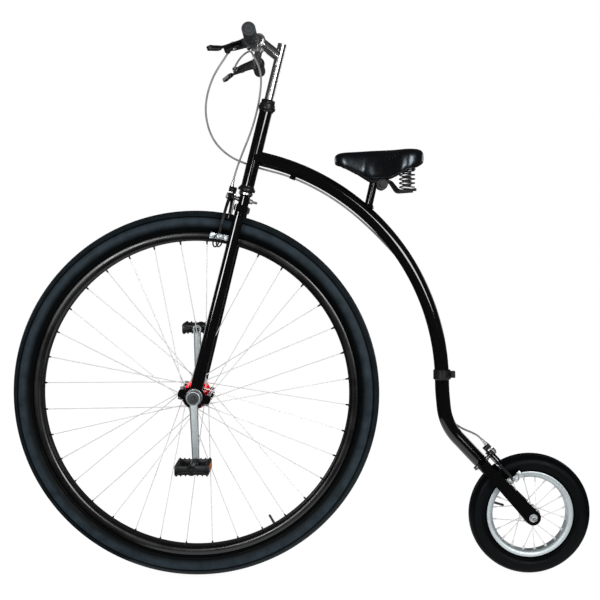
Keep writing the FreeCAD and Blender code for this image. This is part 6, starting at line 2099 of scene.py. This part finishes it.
ASSEMBLIES = [
    Tyre("front_tyre", "front_wheel", Datum.FRONT_WHEEL, radius=FRONT_RADIUS, width=57.0, bead=393.5, rim_width=42.0,
         steps=240, block_rows=((-34.0, -22.0), (-20.0, -4.0), (4.0, 20.0), (22.0, 34.0)), groove=64.0),
    Rim("front_rim", "front_wheel", Datum.FRONT_WHEEL, Finish.RIM_PAINT, bead=393.5, inner=379.0, width=42.0,
        steps=240),
    Spokes("front_spokes", "front_wheel", Datum.FRONT_WHEEL, Finish.BLACK_METAL, count=36, first_angle=-4.6,
           cross_angle=60.0, hole_radius=28.5, flange_radius=32.5, flange_offset=38.0, flange_thickness=3.2,
           rim_radius=379.0, radius=1.15, nipple_length=8.0),
    Hub("front_hub", "front_wheel", Datum.FRONT_WHEEL, Finish.RED_ANODISED, shell=16.0, flange=32.5,
        flange_offset=38.0, flange_thickness=3.2, end=44.0, bore=8.6, hole_radius=28.5),
    Valve("front_valve", "front_wheel", Datum.FRONT_WHEEL, rim_radius=379.0, angle=-59.7),
    Tyre("rear_tyre", "rear_wheel", Datum.REAR_WHEEL, radius=REAR_RADIUS, width=48.0, bead=101.5, rim_width=32.0,
         steps=120, block_rows=((-46.0, -30.0), (-27.0, -5.0), (5.0, 27.0), (30.0, 46.0)), groove=56.0,
         groove_depth=1.0, bloom=0.06),
    Rim("rear_rim", "rear_wheel", Datum.REAR_WHEEL, Finish.ALUMINIUM, bead=101.5, inner=92.0, width=32.0, steps=144),
    Spokes("rear_spokes", "rear_wheel", Datum.REAR_WHEEL, Finish.SPOKE_STEEL, count=20, first_angle=-9.0,
           cross_angle=36.0, hole_radius=19.0, flange_radius=22.5, flange_offset=27.0, flange_thickness=3.0,
           rim_radius=92.0, radius=1.0),
    Hub("rear_hub", "rear_wheel", Datum.REAR_WHEEL, Finish.SILVER_HUB, shell=14.0, flange=22.5, flange_offset=27.0,
        flange_thickness=3.0, end=34.0, bore=4.7, hole_radius=19.0),
    Valve("rear_valve", "rear_wheel", Datum.REAR_WHEEL, rim_radius=92.0, angle=163.0),
    Cranks(),
    Pedal(Side.LEFT),
    Pedal(Side.RIGHT),
    Headset(),
    Grips(),
    LeverFittings(),
    Cables(),
    PadHardware("front_pad_nuts", Datum.STEERING, "steering", Vector((-35.0, 41.0, 392.5)), length=45.0, loop=True),
    PadHardware("rear_pad_nuts", Datum.REAR_FORK, "frame", Vector((35.0, 36.0, 97.0)), length=39.0, loop=False),
    BrakeSprings("front_brake_spring", Datum.STEERING, "steering", outward=-1, bolt_height=493.5, foot=(40.0, 440.0)),
    BrakeSprings("rear_brake_spring", Datum.REAR_FORK, "frame", outward=1, bolt_height=172.0, foot=(35.0, 138.0)),
    RearAxleNuts(),
    SaddleCover(),
    SaddleSprings(),
]


# ---- Studio

@dataclass
class Lamp:
    """One soft rectangular lamp aimed at a point."""

    name: str
    at: Triple
    aim: Triple
    size: Pair
    power: float

    def build(self) -> None:
        """Adds the lamp."""
        light = bpy.data.lights.new(self.name, "AREA")
        light.shape = "RECTANGLE"
        light.size, light.size_y = self.size
        light.energy = self.power
        lamp = bpy.data.objects.new(self.name, light)
        lamp.location = self.at
        lamp.rotation_mode = "QUATERNION"
        lamp.rotation_quaternion = (Vector(self.aim) - Vector(self.at)).to_track_quat("-Z", "Y")
        bpy.context.collection.objects.link(lamp)


@dataclass
class Studio:
    """Floor, white surround, dark felt, lamps and the camera."""

    camera_at: Triple = (-0.220, -2.7234, -0.2221)
    yaw: float = -0.005
    pitch: float = 0.051
    roll: float = -0.007
    lens: float = 66.25
    surround: float = 0.45
    floor_radius: float = 14.0
    floor_gap: float = 0.0005           # between the wheels and the floor
    felt_hole: float = 0.68
    felt_radius: float = 6.5
    felt_rise: float = 0.004            # how far the felt lies above the floor
    felt_wall: float = 2.4
    felt_ceiling: Pair = (3.0, 4.5)     # radius and height

    def build(self) -> None:
        """Builds the whole studio."""
        bpy.context.scene.view_settings.view_transform = "Standard"
        self.build_camera()
        self.build_floor()
        self.build_flags()
        self.build_world()
        self.build_lamps()

    def build_camera(self) -> None:
        """Places the camera and makes it the scene's own."""
        data = bpy.data.cameras.new("camera")
        data.sensor_width = 36.0
        data.lens = self.lens
        camera = bpy.data.objects.new("camera", data)
        forward = Vector((
            math.sin(self.yaw) * math.cos(self.pitch),
            math.cos(self.yaw) * math.cos(self.pitch),
            -math.sin(self.pitch),
        ))
        camera.location = self.camera_at
        camera.rotation_mode = "QUATERNION"
        turn = forward.to_track_quat("-Z", "Y")
        camera.rotation_quaternion = turn @ Matrix.Rotation(self.roll, 3, "Z").to_quaternion()
        bpy.context.collection.objects.link(camera)
        bpy.context.scene.camera = camera

    def stage(self, shape: BMesh, name: str, material: Material) -> bpy.types.Object:
        """Makes a piece of the studio.

        Args:
            shape: Its mesh, which is freed.
            name: Its name.
            material: What it is made of.

        Returns:
            The new object.
        """
        mesh = bpy.data.meshes.new(name)
        shape.to_mesh(mesh)
        shape.free()
        mesh.materials.append(material)
        made = bpy.data.objects.new(name, mesh)
        bpy.context.collection.objects.link(made)
        return made

    def build_floor(self) -> None:
        """Lays a round floor under the wheels."""
        shape = bmesh.new()
        bmesh.ops.create_circle(shape, cap_ends=True, radius=self.floor_radius, segments=96,
                                matrix=Matrix.Translation(UP * (GROUND - self.floor_gap)))
        self.stage(shape, "floor", PaleFloor().build())

    def build_flags(self) -> None:
        """Hangs a tent of dark felt round the object that only reflections see, open over the floor near it."""
        shape = bmesh.new()
        low = GROUND + self.felt_rise
        outline = [(self.felt_hole, low), (self.felt_radius, low), (self.felt_radius, self.felt_wall),
                   self.felt_ceiling, (0.0, self.felt_ceiling[1])]
        corners = [shape.verts.new((radius, 0.0, height)) for radius, height in outline]
        edges = [shape.edges.new(ends) for ends in zip(corners, corners[1:])]
        bmesh.ops.spin(shape, geom=corners + edges, cent=(0.0, 0.0, 0.0), axis=(0.0, 0.0, 1.0),
                       angle=math.tau, steps=64, use_merge=True)
        felt = self.stage(shape, "felt_tent", BlackFlag().build())
        felt.visible_camera = felt.visible_diffuse = felt.visible_transmission = felt.visible_shadow = False

    def build_world(self) -> None:
        """Surrounds the object with white that lights it softly."""
        world = bpy.data.worlds.new("surround")
        world.use_nodes = True
        bpy.context.scene.world = world
        tree = world.node_tree
        background = tree.nodes["Background"]
        background.inputs["Color"].default_value = (1.0, 1.0, 1.0, 1.0)
        level = tree.nodes.new("ShaderNodeMapRange")
        level.inputs["To Min"].default_value = self.surround
        level.inputs["To Max"].default_value = 1.0
        tree.links.new(seen_directly(tree), level.inputs["Value"])
        tree.links.new(level.outputs["Result"], background.inputs["Strength"])

    def build_lamps(self) -> None:
        """Hangs two soft boxes before the object and two dimmer ones behind it."""
        lamps = [
            Lamp("key", at=(1.5, -3.7, 0.46), aim=(0.0, 0.0, 0.0), size=(1.8, 1.1), power=78.0),
            Lamp("side", at=(-1.6, -3.4, 0.13), aim=(-0.3, 0.0, 0.0), size=(0.8, 0.62), power=34.0),
            Lamp("back_left", at=(-2.9, 2.9, 0.2), aim=(-0.2, 0.0, -0.3), size=(1.7, 1.0), power=14.0),
            Lamp("back_right", at=(2.6, 3.0, 0.2), aim=(0.1, 0.0, -0.3), size=(1.7, 1.0), power=11.0),
        ]
        for lamp in lamps:
            lamp.build()


def main() -> None:
    """Builds the studio and the bicycle."""
    logging.basicConfig(level=logging.INFO, format="%(name)s %(message)s")
    Studio().build()
    shop = Workshop()
    shop.keep()
    for assembly in ASSEMBLIES:
        assembly.build(shop)
        LOG.info("%s is done", type(assembly).__name__)


if __name__ == "__main__":
    main()
